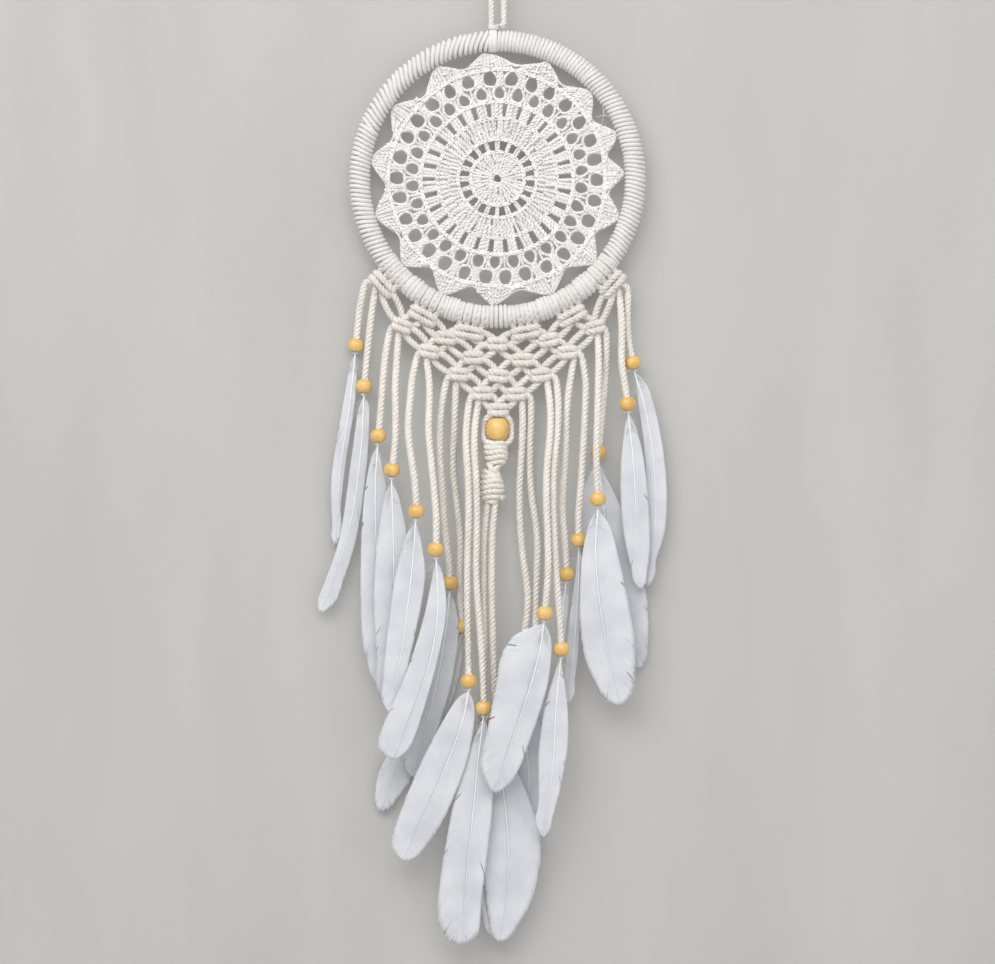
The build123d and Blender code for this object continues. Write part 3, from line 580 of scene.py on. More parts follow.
def quill_material():
    """The feather's shaft, pale horn."""
    paint = Paint("feather_quill", (0.95, 0.95, 0.94), 0.35, specular=0.5)
    value = paint.noise(300, 4, (1, 1, 0.2))
    paint.colour(value, (0.35, (0.92, 0.915, 0.9)), (0.6, (0.97, 0.97, 0.96)))
    paint.bump(value, 0.2, 0.0001)
    return paint.material


def steel():
    """Dull drawn steel of the ring inside the winding."""
    paint = Paint("ring_steel", (0.6, 0.58, 0.55), 0.4)
    paint.shader.inputs["Metallic"].default_value = 1
    paint.colour(paint.noise(500, 4), (0.3, (0.5, 0.48, 0.45)), (0.7, (0.68, 0.66, 0.63)))
    return paint.material


def wall_paint_and_painted_glow():
    """Pale wall paint with soft streaks and a painted glow that lightens its shade, clear from the back."""
    paint = Paint("wall_paint_and_painted_glow", (0.395, 0.39, 0.379), 0.9, specular=0.2)
    # painted glow: a faint warm emission that stands in for bounce light, lightening the wall in the shade
    # behind the doily and between the strands
    paint.shader.inputs["Emission Color"].default_value = (1, 0.99, 0.965, 1)
    paint.shader.inputs["Emission Strength"].default_value = 0.12
    paint.bump(paint.noise(260, 4), 0.08, 0.0003)
    paint.colour(paint.noise(14, 5, (1, 1, 0.25)), (0.3, (0.37, 0.364, 0.349)), (0.7, (0.41, 0.406, 0.394)))
    geometry = paint.nodes.new("ShaderNodeNewGeometry")
    clear = paint.nodes.new("ShaderNodeBsdfTransparent")
    mix = paint.nodes.new("ShaderNodeMixShader")
    paint.links.new(geometry.outputs["Backfacing"], mix.inputs["Fac"])
    paint.links.new(paint.shader.outputs["BSDF"], mix.inputs[1])
    paint.links.new(clear.outputs["BSDF"], mix.inputs[2])
    paint.links.new(mix.outputs["Shader"], paint.nodes["Material Output"].inputs["Surface"])
    return paint.material


def route_line(name, route):
    """Points along a route's own smooth curve."""
    curve = bpy.data.curves.new(name + "_route", "CURVE")
    curve.dimensions = "3D"
    curve.resolution_u = 26
    spline = curve.splines.new("NURBS")
    spline.points.add(len(route) - 1)
    for point, place in zip(spline.points, route):
        point.co = (*place, 1)
    spline.order_u = 3
    spline.use_endpoint_u = True
    obj = bpy.data.objects.new(name + "_route", curve)
    mesh = bpy.data.meshes.new_from_object(obj)
    line = np.array([tuple(vertex.co) for vertex in mesh.vertices])
    bpy.data.objects.remove(obj)
    bpy.data.curves.remove(curve)
    bpy.data.meshes.remove(mesh)
    return line


def tassel_of(name):
    """The tassel that a strand belongs to."""
    return "c" if name in ("c1", "c2") else name[:-1]


def make_strand(name):
    """One twisted fringe cord down to its bead."""
    line = route_line(name, STRANDS[name])
    pieces = Pieces()
    pieces.twist(line, FRONT, CORD_RADIUS, CORD_PITCH, phase=rng.uniform(0, 6))
    pieces.fuzz(line, CORD_RADIUS, 500)
    cord = pieces.make("cord_" + name, [MATERIALS["cord"]], "tassel_" + tassel_of(name), "cord_cotton")
    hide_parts("strand_" + name)


def make_loop():
    """The hanging loop, and the cord's turn round the hoop that it ends in."""
    line = route_line("loop", LOOP_ROUTE)
    pieces = Pieces()
    phase = pieces.twist(line, FRONT, LOOP_RADIUS, KNOT_PITCH)
    pieces.fuzz(line, LOOP_RADIUS, 400)
    loop = pieces.make("hanging_cord", [MATERIALS["cord"]], "hanger", "cord_cotton")
    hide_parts("hanging_loop")
    top = HOOP_Z + HOOP_RADIUS
    turn = Pieces()
    for x, lean in ((-0.0042, 0.0004), (-0.0018, 0.0002)):
        around = np.linspace(0, 2 * pi, 60, endpoint=False)
        ring = np.stack([x + lean * np.cos(around), -LOOP_TURN_RADIUS * np.sin(around),
                         top + LOOP_TURN_RADIUS * np.cos(around)], 1)
        turn.tube(ring, (1, 0, 0), 0.0016, 9, closed=True, flat=0.5)
    tail = smooth_line(((0.00415, 0, -0.038), (0.0041, -0.0003, -0.0402), (0.0028, -0.0012, -0.0424),
                        (-0.0005, -0.0022, -0.0434), (-0.0034, -0.0012, -0.0436)), 0.0008)
    turn.twist(tail, FRONT, LOOP_RADIUS, KNOT_PITCH, phase=phase)
    stem = ((-0.00415, 0, -0.0416), (-0.0041, -0.001, -0.0434), (-0.0036, -0.003, -0.0446))
    turn.twist(smooth_line(stem, 0.0008), FRONT, LOOP_RADIUS, KNOT_PITCH)
    for index in range(26):
        start = (rng.uniform(-0.002, 0.003), -0.004, -0.0432 + rng.uniform(-0.001, 0.001))
        direction = (rng.uniform(-0.5, 1), -0.2, rng.uniform(-0.2, 0.8))
        turn.fibre(start, direction, rng.uniform(0.002, 0.004), 0.00008)
    knot = turn.make("hanging_turn", [MATERIALS["hoop"]], "hanger", "hoop_cotton")
    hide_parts("hanging_knot")


def round_tube(angle, turn, radius):
    """A line by angles round the hoop and turns round its tube, and the hoop's direction at each point."""
    reach = HOOP_RADIUS + radius * np.cos(turn)
    line = np.stack([reach * np.sin(angle), -radius * np.sin(turn), HOOP_Z + reach * np.cos(angle)], 1)
    along = np.stack([np.cos(angle), np.zeros_like(angle), -np.sin(angle)], 1)
    return line, along


def wound_line(start, end, pitch_deg, tilt_deg, radius):
    """A cord wound round the hoop's tube between two angles, each turn tilted by about the angle given."""
    turns = max(1, round((end - start) / pitch_deg))
    steps = TURN_STEPS * turns
    turn = np.arange(steps + 1) / TURN_STEPS * 2 * pi
    angle = start + (end - start) * np.arange(steps + 1) / steps
    lean = tilt_deg * (1 + 0.12 * np.sin(angle * 0.23) + 0.08 * np.sin(angle * 0.61))
    wobble = radius * (1 + 0.02 * np.sin(turn * 0.31) + 0.015 * np.sin(turn * 0.83))
    return round_tube(np.radians(angle + lean * np.cos(turn)), turn, wobble)


def make_winding():
    """The cotton round the hoop, by spans: start, end, pitch and tilt in degrees, and the yarn's inset."""
    half = TURN_PITCH_DEG * TURNS_PER_KNOT / 2
    centres = [180 + angle for angle in MOUNT_ANGLES]
    spans = [
        (centres[-1] + half - 360, -68, 1.85, 1.2, 0.0018),
        (-68.5, -2, 2.25, 2.6, 0.0018),
        (-3, 42, 1.62, 0.5, 0.0018),
        (41.5, centres[0] - half, 1.8, 1.1, 0.0018),
        (centres[0] - half, centres[-1] + half, 1.8, 0.4, 0.0018),
    ]
    spans += [(a + half - 0.3, b - half + 0.3, 1.75, 0.4, 0.001) for a, b in zip(centres, centres[1:])]
    pieces = Pieces()
    for start, end, pitch, tilt, inset in spans:
        line, along = wound_line(start, end, pitch, tilt, WRAP_RADIUS - inset)
        pieces.tube(line, along, WINDING_YARN, 8, flat=1.95)
        pieces.fuzz(line, 0.0017, 60)
    winding = pieces.make("hoop_winding", [MATERIALS["hoop"]], "hoop", "hoop_cotton")
    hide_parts("hoop_wrap")


def make_mounts():
    """The net's cords where they turn over the hoop, side by side, every other one leaning the other way."""
    pieces = Pieces()
    around = np.linspace(0, 2 * pi, 40, endpoint=False)
    for centre in MOUNT_ANGLES:
        for index in range(TURNS_PER_KNOT):
            step = index - (TURNS_PER_KNOT - 1) / 2
            lean = (0.2 if index % 2 else -0.2) + rng.uniform(-0.15, 0.15)
            angle = np.radians(180 + centre + step * TURN_PITCH_DEG + lean * np.cos(around))
            ring, along = round_tube(angle, around, MOUNT_RADIUS)
            pieces.twist(ring, along, MOUNT_CORD, CORD_PITCH, closed=True, phase=rng.uniform(0, 6))
    mounts = pieces.make("mounting_turns", [MATERIALS["mount"]], "hoop", "cord_cotton")
    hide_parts("mounting_knots")


def knot_wrap(pieces, x, z, tilt, half_length, half_height):
    """The working cord of one square knot: two front bars joined round the sides."""
    turn = np.linspace(0, 4 * pi, 96, endpoint=False)
    level = np.empty_like(turn)
    for index, angle in enumerate(turn):
        part = angle % (2 * pi)
        sign = 1 if angle < 2 * pi else -1
        if part < pi:
            level[index] = sign * (0.8 + 0.2 * sin(part))
        else:
            share = (part - pi) / pi
            share = share * share * (3 - 2 * share)
            level[index] = sign * 0.8 * (1 - 2 * share)
    across = np.cos(turn)
    across = np.sign(across) * np.abs(across) ** 0.8 * half_length
    reach = -np.sign(np.sin(turn)) * np.abs(np.sin(turn)) ** 0.75 * 0.0029
    height = level * half_height
    lean = radians(tilt)
    line = np.stack([x + across * cos(lean) + height * sin(lean), reach,
                     z - across * sin(lean) + height * cos(lean)], 1)
    up = np.array((sin(lean), 0, cos(lean)))
    pieces.twist(line, up, KNOT_CORD, KNOT_PITCH, closed=True, phase=rng.uniform(0, 6))


def link(pieces, upper, lower):
    """Two cords side by side from a knot to one in the next row, bowed apart."""
    start = Vector((upper[0], 0, upper[1]))
    end = Vector((lower[0], 0, lower[1]))
    run = (end - start).normalized()
    across = run.cross(Vector((0, 1, 0)))
    for side in (-1, 1):
        shift = across * side
        bow = 0.0033 + rng.uniform(-0.0003, 0.0006)
        points = (start + run * 0.0006 + shift * 0.0016, start.lerp(end, 0.33) + shift * bow,
                  start.lerp(end, 0.67) + shift * bow, end - run * 0.0006 + shift * 0.0016)
        depth = (0.0004, -0.0006 * side, 0.0006 * side, 0.0004)
        line = smooth_line([(p.x, y, p.z) for p, y in zip(points, depth)])
        pieces.twist(line, FRONT, NET_CORD, KNOT_PITCH, phase=rng.uniform(0, 6))


def make_net():
    """Six rows of square knots; a row's piece holds its knots and the cords down to them."""
    places = []
    pieces = Pieces()
    for angle in reversed(MOUNT_ANGLES):
        place = on_hoop(FIRST_ROW_RADIUS, 180 + angle)
        places.append((place[0], place[2]))
        knot_wrap(pieces, place[0], place[2], angle, 0.0082, 0.0024)
        for step in (-1.5, -0.5, 0.5, 1.5):
            top = on_hoop(HOOP_RADIUS + 0.003, 180 + angle + step * TURN_PITCH_DEG, -0.003)
            low = on_hoop(FIRST_ROW_RADIUS + 0.0045, 180 + angle + step * 1.5)
            middle = on_hoop(FIRST_ROW_RADIUS - 0.003, 180 + angle + step * 2.6, -0.001)
            pieces.twist(smooth_line((top, middle, low)), FRONT, 0.0022, CORD_PITCH)
    rows = [pieces]
    for row in KNOT_ROWS:
        pieces = Pieces()
        for index, (x, z) in enumerate(row):
            tilt = degrees(atan2(-(z - places[index][1]) + (z - places[index + 1][1]), 0.06))
            knot_wrap(pieces, x, z, tilt + rng.uniform(-6, 6), 0.005, 0.0023)
            link(pieces, places[index], (x, z))
            link(pieces, places[index + 1], (x, z))
        places = row
        rows.append(pieces)
    for name, route in STRANDS.items():
        if name not in ("c1", "c2"):
            lead(rows, name, route)
    for index, pieces in enumerate(rows, 1):
        row = pieces.make(f"net_row_{index}", [MATERIALS["net"]], "hoop", "cord_cotton")
        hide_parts(f"knot_row_{index}")


def lead(rows, name, route):
    """The bent end of a fringe cord between its knot and the start of its route."""
    number = int(name[1])
    if number == 1:
        side = -1 if name[0] == "l" else 1
        place = on_hoop(FIRST_ROW_RADIUS, 180 - side * MOUNT_ANGLES[-1])
        knot = (place[0], place[2])
    else:
        knot = KNOT_ROWS[number - 2][0 if name[0] == "l" else -1]
    start = Vector((knot[0], 0, knot[1]))
    end = Vector(route[0])
    down = (Vector(route[1]) - end).normalized()
    outward = end.x - start.x
    inner = start + Vector((outward * 0.75, -0.0004, 0.0016 if abs(outward) > 0.005 else -0.002))
    outer = end - down * 0.003
    steps = 14
    line = []
    for step in range(steps + 1):
        t = step / steps
        line.append(start * (1 - t) ** 3 + inner * 3 * t * (1 - t) ** 2 + outer * 3 * t * t * (1 - t)
                    + (end + down * 0.0005) * t ** 3)
    rows[number - 1].twist(np.array([tuple(p) for p in line]), FRONT, NET_CORD, CORD_PITCH)


def doily_outline():
    """Angle and reach of the doily's scalloped edge: round fans with a valley between each two."""
    marks = []
    for index, tip in enumerate(TIP_ANGLES):
        following = TIP_ANGLES[(index + 1) % len(TIP_ANGLES)]
        if following < tip:
            following += 360
        reach = TOP_TIP_REACH if index == 0 else TIP_REACH
        gap = following - tip
        valley = rng.uniform(0.0736, 0.0762)
        for share, level in ((0, 1), (0.1, 0.85), (0.26, 0.42), (0.4, 0.08), (0.5, 0), (0.6, 0.08),
                             (0.74, 0.42), (0.9, 0.85)):
            marks.append((tip + share * gap, valley + level * (reach - valley)))
    return marks


def on_doily(radius, angle, depth=0.0):
    """A point of the doily, with the slight unevenness of handwork."""
    turn = radians(angle)
    uneven = 1 + 0.006 * sin(3 * turn + 1) + 0.005 * sin(5 * turn + 2.2) + 0.003 * sin(11 * turn)
    shift = 0.5 * sin(2 * turn + 0.7) + 0.35 * sin(7 * turn)
    return on_hoop(radius * uneven, angle + shift, depth)


def braid(pieces, radius, stitch, width=0.00062):
    """The row of stitch heads on top of a crochet round: a slanted pair of short yarns for each stitch."""
    count = max(8, round(2 * pi * radius / stitch))
    pitch = 360 / count
    for index in range(count):
        angle = (index + rng.uniform(-0.15, 0.15)) * pitch
        for side in (-1, 1):
            inset = rng.uniform(-0.0002, 0.0002)
            start = on_doily(radius + side * 0.0009 + inset, angle - 0.55 * pitch, -0.0008)
            middle = on_doily(radius + side * 0.0006, angle, -0.0014)
            end = on_doily(radius, angle + 0.5 * pitch, -0.0009)
            pieces.tube(smooth_line((start, middle, end)), FRONT, width * rng.uniform(0.85, 1.2), 6)


def post(pieces, inner, outer, angle, lean, width, depth=0.0):
    """One crochet post: two yarns twisted together, from one round to the next."""
    shift = degrees(rng.uniform(-0.0004, 0.0004) / inner)
    start = on_doily(inner, angle + shift, depth + rng.uniform(-0.0003, 0.0003))
    shift = degrees(rng.uniform(-0.0004, 0.0004) / outer)
    end = on_doily(outer, angle + lean + shift, depth)
    middle = (start + end) / 2 + np.array((0, rng.uniform(-0.0007, 0.0001), 0))
    line = smooth_line((start, middle, end))
    pitch = rng.uniform(0.0042, 0.0058)
    pieces.twist(line, FRONT, width * rng.uniform(0.9, 1.1), pitch, plies=2, phase=rng.uniform(0, 6), sides=6)


def band(pieces, inner, outer, count, width, loose=0.12):
    """A dense round of posts in two layers, the back one seen between the posts of the front one."""
    pitch = 360 / count
    for index in range(count):
        angle = (index + rng.uniform(-loose, loose)) * pitch
        post(pieces, inner, outer, angle, rng.uniform(-0.25, 0.25) * pitch, width)
        if rng.random() < 0.93:
            post(pieces, inner, outer, angle + 0.5 * pitch, 0, width * 0.85, BACK_LAYER)


def rim(pieces, radius, angle, half_width, half_height):
    """The chain of yarn round one hole, a little out of round; its height is along the radius."""
    away = radians(angle)
    outward = np.array((sin(away), 0, cos(away)))
    across = np.array((cos(away), 0, -sin(away)))
    centre = on_doily(radius, angle)
    skew = rng.uniform(0, 6)
    oval = rng.uniform(-0.07, 0.07)
    size = rng.uniform(0.95, 1.05)
    steps = 34
    line = []
    for step in range(steps):
        turn = 2 * pi * step / steps
        reach = size + 0.06 * cos(3 * turn) + oval * cos(2 * turn + skew)
        ripple = np.array((0, 0.0005 * sin(5 * turn), 0))
        line.append(centre + outward * half_height * reach * cos(turn)
                    + across * half_width * reach * sin(turn) + ripple)
    width = rng.uniform(0.00115, 0.00145)
    phase = rng.uniform(0, 6)
    pieces.twist(np.array(line), FRONT, width, 0.0041, plies=2, closed=True, sides=6, phase=phase)


def doily_rounds(pieces):
    """Rounds of posts from the eye out to the slots, with a chain on top of each."""
    rim(pieces, 0, 0, 0.0034, 0.0035)
    band(pieces, 0.0036, 0.0118, 26, 0.0013)
    band(pieces, 0.0108, 0.0181, 44, 0.00135)
    for index in range(INNER_SLOTS):
        for side in (-0.8, 0.8):
            angle = 360 / INNER_SLOTS * index + side * 2.3 + rng.uniform(-0.6, 0.6)
            post(pieces, 0.0172, 0.0262, angle, 0, 0.00112)
    band(pieces, 0.0256, 0.0326, 66, 0.00148, 0.2)
    band(pieces, 0.0315, 0.0408, 80, 0.0015, 0.28)
    for index in range(MESH_HOLES):
        for side in (-1.05, 0, 1.05):
            angle = 360 / MESH_HOLES * index + 11 + side * 2.5 + rng.uniform(-0.4, 0.4)
            post(pieces, 0.0398, 0.0502, angle, rng.uniform(-0.3, 0.3), 0.00168)
    braid(pieces, 0.0176, 0.0028)
    braid(pieces, 0.0259, 0.0028)
    braid(pieces, 0.0394, 0.0031, 0.0005)
    braid(pieces, 0.0504, 0.0029, 0.0007)


def doily_mesh(pieces):
    """Two staggered rounds of round holes, each hole with its own chain."""
    for index in range(MESH_HOLES):
        inner = 360 / MESH_HOLES * index + 1
        outer = inner + 6
        rim(pieces, 0.0559 + rng.uniform(-0.0005, 0.0005), inner + rng.uniform(-0.5, 0.5), 0.0043, 0.0051)
        rim(pieces, 0.066 + rng.uniform(-0.0006, 0.0006), outer + rng.uniform(-0.6, 0.6), 0.0048, 0.0059)
        post(pieces, 0.0503, 0.0542, outer, 0, 0.0014)
        post(pieces, 0.0505, 0.0605, outer, 0, 0.0011)
        for side in (-1.1, 0, 1.1):
            post(pieces, 0.0602, 0.0722, inner + side, 0, 0.00138)
    braid(pieces, 0.0715, 0.003, 0.00066)


def edge_reach(marks, angle):
    """Reach of the scalloped edge at an angle."""
    angles, reaches = np.transpose(marks)
    return np.interp((angle - angles[0]) % 360 + angles[0], angles, reaches)


def doily_fans(pieces):
    """A fan of posts to each tip, and the chain along the scalloped edge."""
    marks = doily_outline()
    edge = np.array([on_doily(reach - 0.0008, angle) for angle, reach in marks])
    count = len(TIP_ANGLES)
    for index, tip in enumerate(TIP_ANGLES):
        before = TIP_ANGLES[index - 1] - (360 if index == 0 else 0)
        after = TIP_ANGLES[(index + 1) % count] + (360 if index == count - 1 else 0)
        low, high = (before + tip) / 2, (tip + after) / 2
        for layer, depth in ((0.5, 0.0), (0.0, BACK_LAYER)):
            for number in range(FAN_POSTS):
                base = low + (high - low) * (number + layer) / FAN_POSTS
                top = base + (tip - base) * 0.3
                post(pieces, 0.0705, edge_reach(marks, top) - 0.0008, base, top - base, 0.0014, depth)
    line = smooth_line(list(edge) + [edge[0]])[:-1]
    pieces.twist(line, FRONT, 0.001, 0.0036, plies=2, closed=True, sides=6)
    for number in range(170):
        angle = rng.uniform(0, 360)
        radius = rng.uniform(0.0725, edge_reach(marks, angle) - 0.0012)
        start = on_doily(radius, angle, -0.001)
        end = on_doily(radius + rng.uniform(-0.0008, 0.0008), angle + degrees(0.0026 / radius), -0.0012)
        middle = (start + end) / 2 + np.array((0, -0.0006, 0))
        pieces.tube(smooth_line((start, middle, end)), FRONT, rng.uniform(0.0005, 0.0008), 6)


def make_doily():
    """The crochet doily, all of yarn, and the threads that tie it to the hoop."""
    pieces = Pieces()
    doily_rounds(pieces)
    doily_mesh(pieces)
    doily_fans(pieces)
    doily = pieces.make("crochet_doily", [MATERIALS["doily"]], "hoop", "doily_cotton")
    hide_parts("doily")
    ties = Pieces()
    around = np.linspace(0, 2 * pi, 44, endpoint=False)
    for angle in TIE_ANGLES:
        ring, along = round_tube(np.radians(angle + 0.7 * np.cos(around)), around, WRAP_RADIUS + 0.0002)
        ties.twist(ring, along, THREAD_RADIUS, 0.0022, plies=2, closed=True, sides=5)
    for start, end, bow in ((58, 62, -0.0035), (63, 55, -0.0046), (300, 304, -0.003)):
        a, b = on_hoop(0.077, start, -0.0012), on_hoop(0.0845, end, -0.0008)
        middle = (a + b) / 2 + np.array((0.001, bow, 0.0012))
        line = smooth_line((a, middle, b), 0.0008)
        ties.twist(line, (0.2, -1, 0.1), THREAD_RADIUS, 0.002, plies=2, sides=5)
    thread = ties.make("tie_threads", [MATERIALS["thread"]], "hoop", "doily_cotton")
    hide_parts("doily_ties")


def lathe(pieces, outline, origin, axis, sides=36):
    """A turned closed body from (radius, height) points, about an axis through the origin."""
    axis = Vector(axis).normalized()
    turn = axis.to_track_quat("Z", "Y")
    points = []
    for radius, height in outline:
        for side in range(sides):
            angle = 2 * pi * side / sides
            points.append(Vector(origin) + turn @ Vector((radius * cos(angle), radius * sin(angle), height)))
    faces = []
    uvs = []
    rows = len(outline)
    for row, u0, u1, corners in quads(rows, sides, True):
        faces.append(corners)
        v0, v1 = row / rows, (row + 1) / rows
        uvs.extend(((u0, v0), (u1, v0), (u1, v1), (u0, v1)))
    pieces.add(points, faces, uvs)


def bead_outline(radius, end_radius, length, bore):
    """A barrel with rounded lips round its hole, as a closed section."""
    half = length / 2
    lip = min(0.0006, (end_radius - bore) * 0.45)
    outline = [(bore, -half + lip), (bore + lip * 0.3, -half + lip * 0.3), (bore + lip, -half)]
    outline += [(end_radius - lip, -half), (end_radius - lip * 0.3, -half + lip * 0.25)]
    steps = 14
    for step in range(steps + 1):
        height = (-1 + 2 * step / steps) * (half - lip)
        share = height / half
        outline.append((sqrt(radius ** 2 - (radius ** 2 - end_radius ** 2) * share ** 2), height))
    outline += [(end_radius - lip * 0.3, half - lip * 0.25), (end_radius - lip, half)]
    outline += [(bore + lip, half), (bore + lip * 0.3, half - lip * 0.3), (bore, half - lip)]
    return outline


def make_bead(name):
    """A turned wooden bead on the end of a strand."""
    end = Vector(STRANDS[name][-1])
    run = end - Vector(STRANDS[name][-2])
    pieces = Pieces()
    size = rng.uniform(0.985, 1.015)
    lathe(pieces, bead_outline(BEAD[0] * size, *BEAD[1:]), end, -run)
    bead = pieces.make("bead_" + name, [MATERIALS["wood"]], "tassel_" + tassel_of(name), "bead_wood")
    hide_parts("beads_" + tassel_of(name))


def make_big_bead():
    """The large bead below the last knot."""
    pieces = Pieces()
    lathe(pieces, bead_outline(*BIG_BEAD), (0, 0, BIG_BEAD_Z), (0, 0, 1), 48)
    bead = pieces.make("large_bead", [MATERIALS["wood"]], "tassel_c", "bead_wood")
    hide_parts("big_bead")


def sinnet_bar(pieces, x, z, reach, tilt, bulge):
    """One half knot of the sinnet: a cord round the middle with a bump where it is crossed."""
    turn = np.linspace(0, 2 * pi, 44, endpoint=False)
    swell = reach + 0.0006 * np.exp(-((np.angle(np.exp(1j * (turn - bulge)))) / 0.5) ** 2)
    line = np.stack([x + swell * np.cos(turn), swell * 0.92 * np.sin(turn),
                     z + tilt * np.cos(turn - bulge) + 0.0004 * np.sin(3 * turn + bulge)], 1)
    pieces.twist(line, (0, 0, 1), SINNET_CORD, KNOT_PITCH, closed=True, phase=rng.uniform(0, 6))


def frayed_stub(pieces, start, end):
    """A cut cord end that opens into loose fibres."""
    pieces.twist(smooth_line((start, end), 0.0008), FRONT, 0.0021, CORD_PITCH)
    direction = (Vector(end) - Vector(start)).normalized()
    for index in range(90):
        spread = any_way()
        spread -= direction * spread.dot(direction)
        spread = spread.normalized() * 0.0021 * rng.random() ** 0.5
        pieces.fibre(Vector(end) - direction * 0.001 + spread, direction + spread * 220,
                     rng.uniform(0.0014, 0.0026), 0.00012)


def sinnet_side(pieces, side):
    """One side's core cord, the cord that crosses between the bulges, and the one that passes the bead."""
    core = ((0.0018 * side - 0.001, 0, -0.316), (0.0017 * side - 0.0018, 0.0005, -0.332),
            (0.0018 * side - 0.0043, 0, -0.345), (0.0019 * side - 0.0043, 0, -0.358))
    pieces.twist(smooth_line(core, 0.001), FRONT, 0.0023, CORD_PITCH)
    cross = ((0.0042 * side - 0.002, -0.0008, -0.3312),
             (0.0012 * side - 0.0026, -0.0042 + 0.0009 * side, -0.3342),
             (-0.0034 * side - 0.0036, -0.0026, -0.3378), (-0.0052 * side - 0.0042, 0.0004, -0.3412))
    pieces.twist(smooth_line(cross, 0.0008), (0, -1, 0.2), 0.0019, KNOT_PITCH)
    beside = ((0.003 * side, -0.001, -0.2984), (0.0068 * side, 0.0002, -0.3006),
              (0.0088 * side, 0.0024, -0.3042), (0.0091 * side, 0.0032, -0.3086),
              (0.0089 * side, 0.0016, -0.3142), (0.0062 * side - 0.0006, -0.0002, -0.3178),
              (0.002 * side - 0.001, -0.0016, -0.3198))
    pieces.twist(smooth_line(beside), FRONT, 0.0022, CORD_PITCH)


def make_sinnet():
    """The spiral of half knots under the large bead, with the two cords that pass the bead."""
    pieces = Pieces()
    for index, (z, reach) in enumerate(SINNET_UPPER):
        sinnet_bar(pieces, -0.0016 + 0.0002 * index, z, reach, 0.0007, 3.6 + 0.5 * index)
    for index, (z, reach) in enumerate(SINNET_LOWER):
        sinnet_bar(pieces, -0.0043, z, reach, 0.0008, 4.1 + 0.55 * index)
    for side in (-1, 1):
        sinnet_side(pieces, side)
    frayed_stub(pieces, (-0.009, -0.001, -0.35), (-0.0138, -0.0012, -0.3514))
    frayed_stub(pieces, (0.0002, -0.002, -0.352), (0.0042, -0.0024, -0.3543))
    sinnet = pieces.make("sinnet_cords", [MATERIALS["cord"]], "tassel_c", "cord_cotton")
    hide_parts("sinnet")


def resample(line, count, power=1.0):
    """Points evenly spaced along a line, or crowded towards its start for a power over one."""
    along = lengths_along(line)
    wanted = along[-1] * np.linspace(0, 1, count) ** power
    return np.stack([np.interp(wanted, along, line[:, axis]) for axis in range(3)], 1)


def blunted(side, tip):
    """A feather's edge with one more point before the tip, set outward so that the tip is round."""
    (x, z), (before_x, before_z) = side[-1], side[-2]
    span_x, span_z = tip[0] - x, tip[1] - z
    turn = -1 if (before_x - x) * span_z - (before_z - z) * span_x > 0 else 1
    bulge = 0.15 * turn
    return list(side) + [(x + span_x * 0.56 + span_z * bulge, z + span_z * 0.56 - span_x * bulge)]


def vane_grid(roots, ends, depth, cup):
    """Rows of points from the shaft to one edge of a feather, slanted to the tip, with a wavering edge."""
    rows = len(roots)
    direction = tangents(roots, False)
    grid = np.zeros((rows, BARB_POINTS, 3))
    drift = 0.0
    for row, root in enumerate(roots):
        ahead = min(rows - 1, int(row + rows * 0.09 * sin(pi * row / (rows - 1))))
        drift = drift * 0.9 + rng.uniform(-1, 1) * 0.1
        reach = 1 + 0.018 * rng.uniform(-1, 1) - 0.05 * abs(drift)
        span = (ends[ahead] - root) * reach
        width = float(np.linalg.norm(span))
        for column in range(BARB_POINTS):
            u = column / (BARB_POINTS - 1)
            bow = -direction[row] * width * 0.22 * u * (1 - u)
            place = root + span * u + bow
            place[1] = depth + cup * (u ** 1.5) * min(1, width / 0.012)
            place[1] += 0.0005 * drift * u
            grid[row, column] = place
    return grid


def part_barbs(grid, gaps, direction):
    """Draw the barbs apart on both sides of each split, from its start out to the edge."""
    for gap, start in gaps.items():
        if gap < 2 or gap > len(grid) - 4:
            continue
        for column in range(BARB_POINTS):
            u = column / (BARB_POINTS - 1)
            if u > start:
                pull = direction[gap] * 0.0007 * (u - start)
                grid[gap, column] -= pull
                grid[gap + 1, column] += pull


def vane_faces(rows, gaps, sign):
    """Faces of one side of a vane, left open at its splits, and their surface coordinates."""
    faces = []
    uvs = []
    for row in range(rows - 1):
        for column in range(BARB_POINTS - 1):
            u0 = column / (BARB_POINTS - 1)
            u1 = (column + 1) / (BARB_POINTS - 1)
            if row in gaps and u0 >= gaps[row]:
                continue
            first = row * BARB_POINTS + column
            corners = (first, first + 1, first + BARB_POINTS + 1, first + BARB_POINTS)
            v0, v1 = row * 0.00055, (row + 1) * 0.00055
            loop = ((u0, v0), (u1, v0), (u1, v1), (u0, v1))
            faces.append(corners[::sign])
            uvs.extend(loop[::sign])
    return faces, uvs


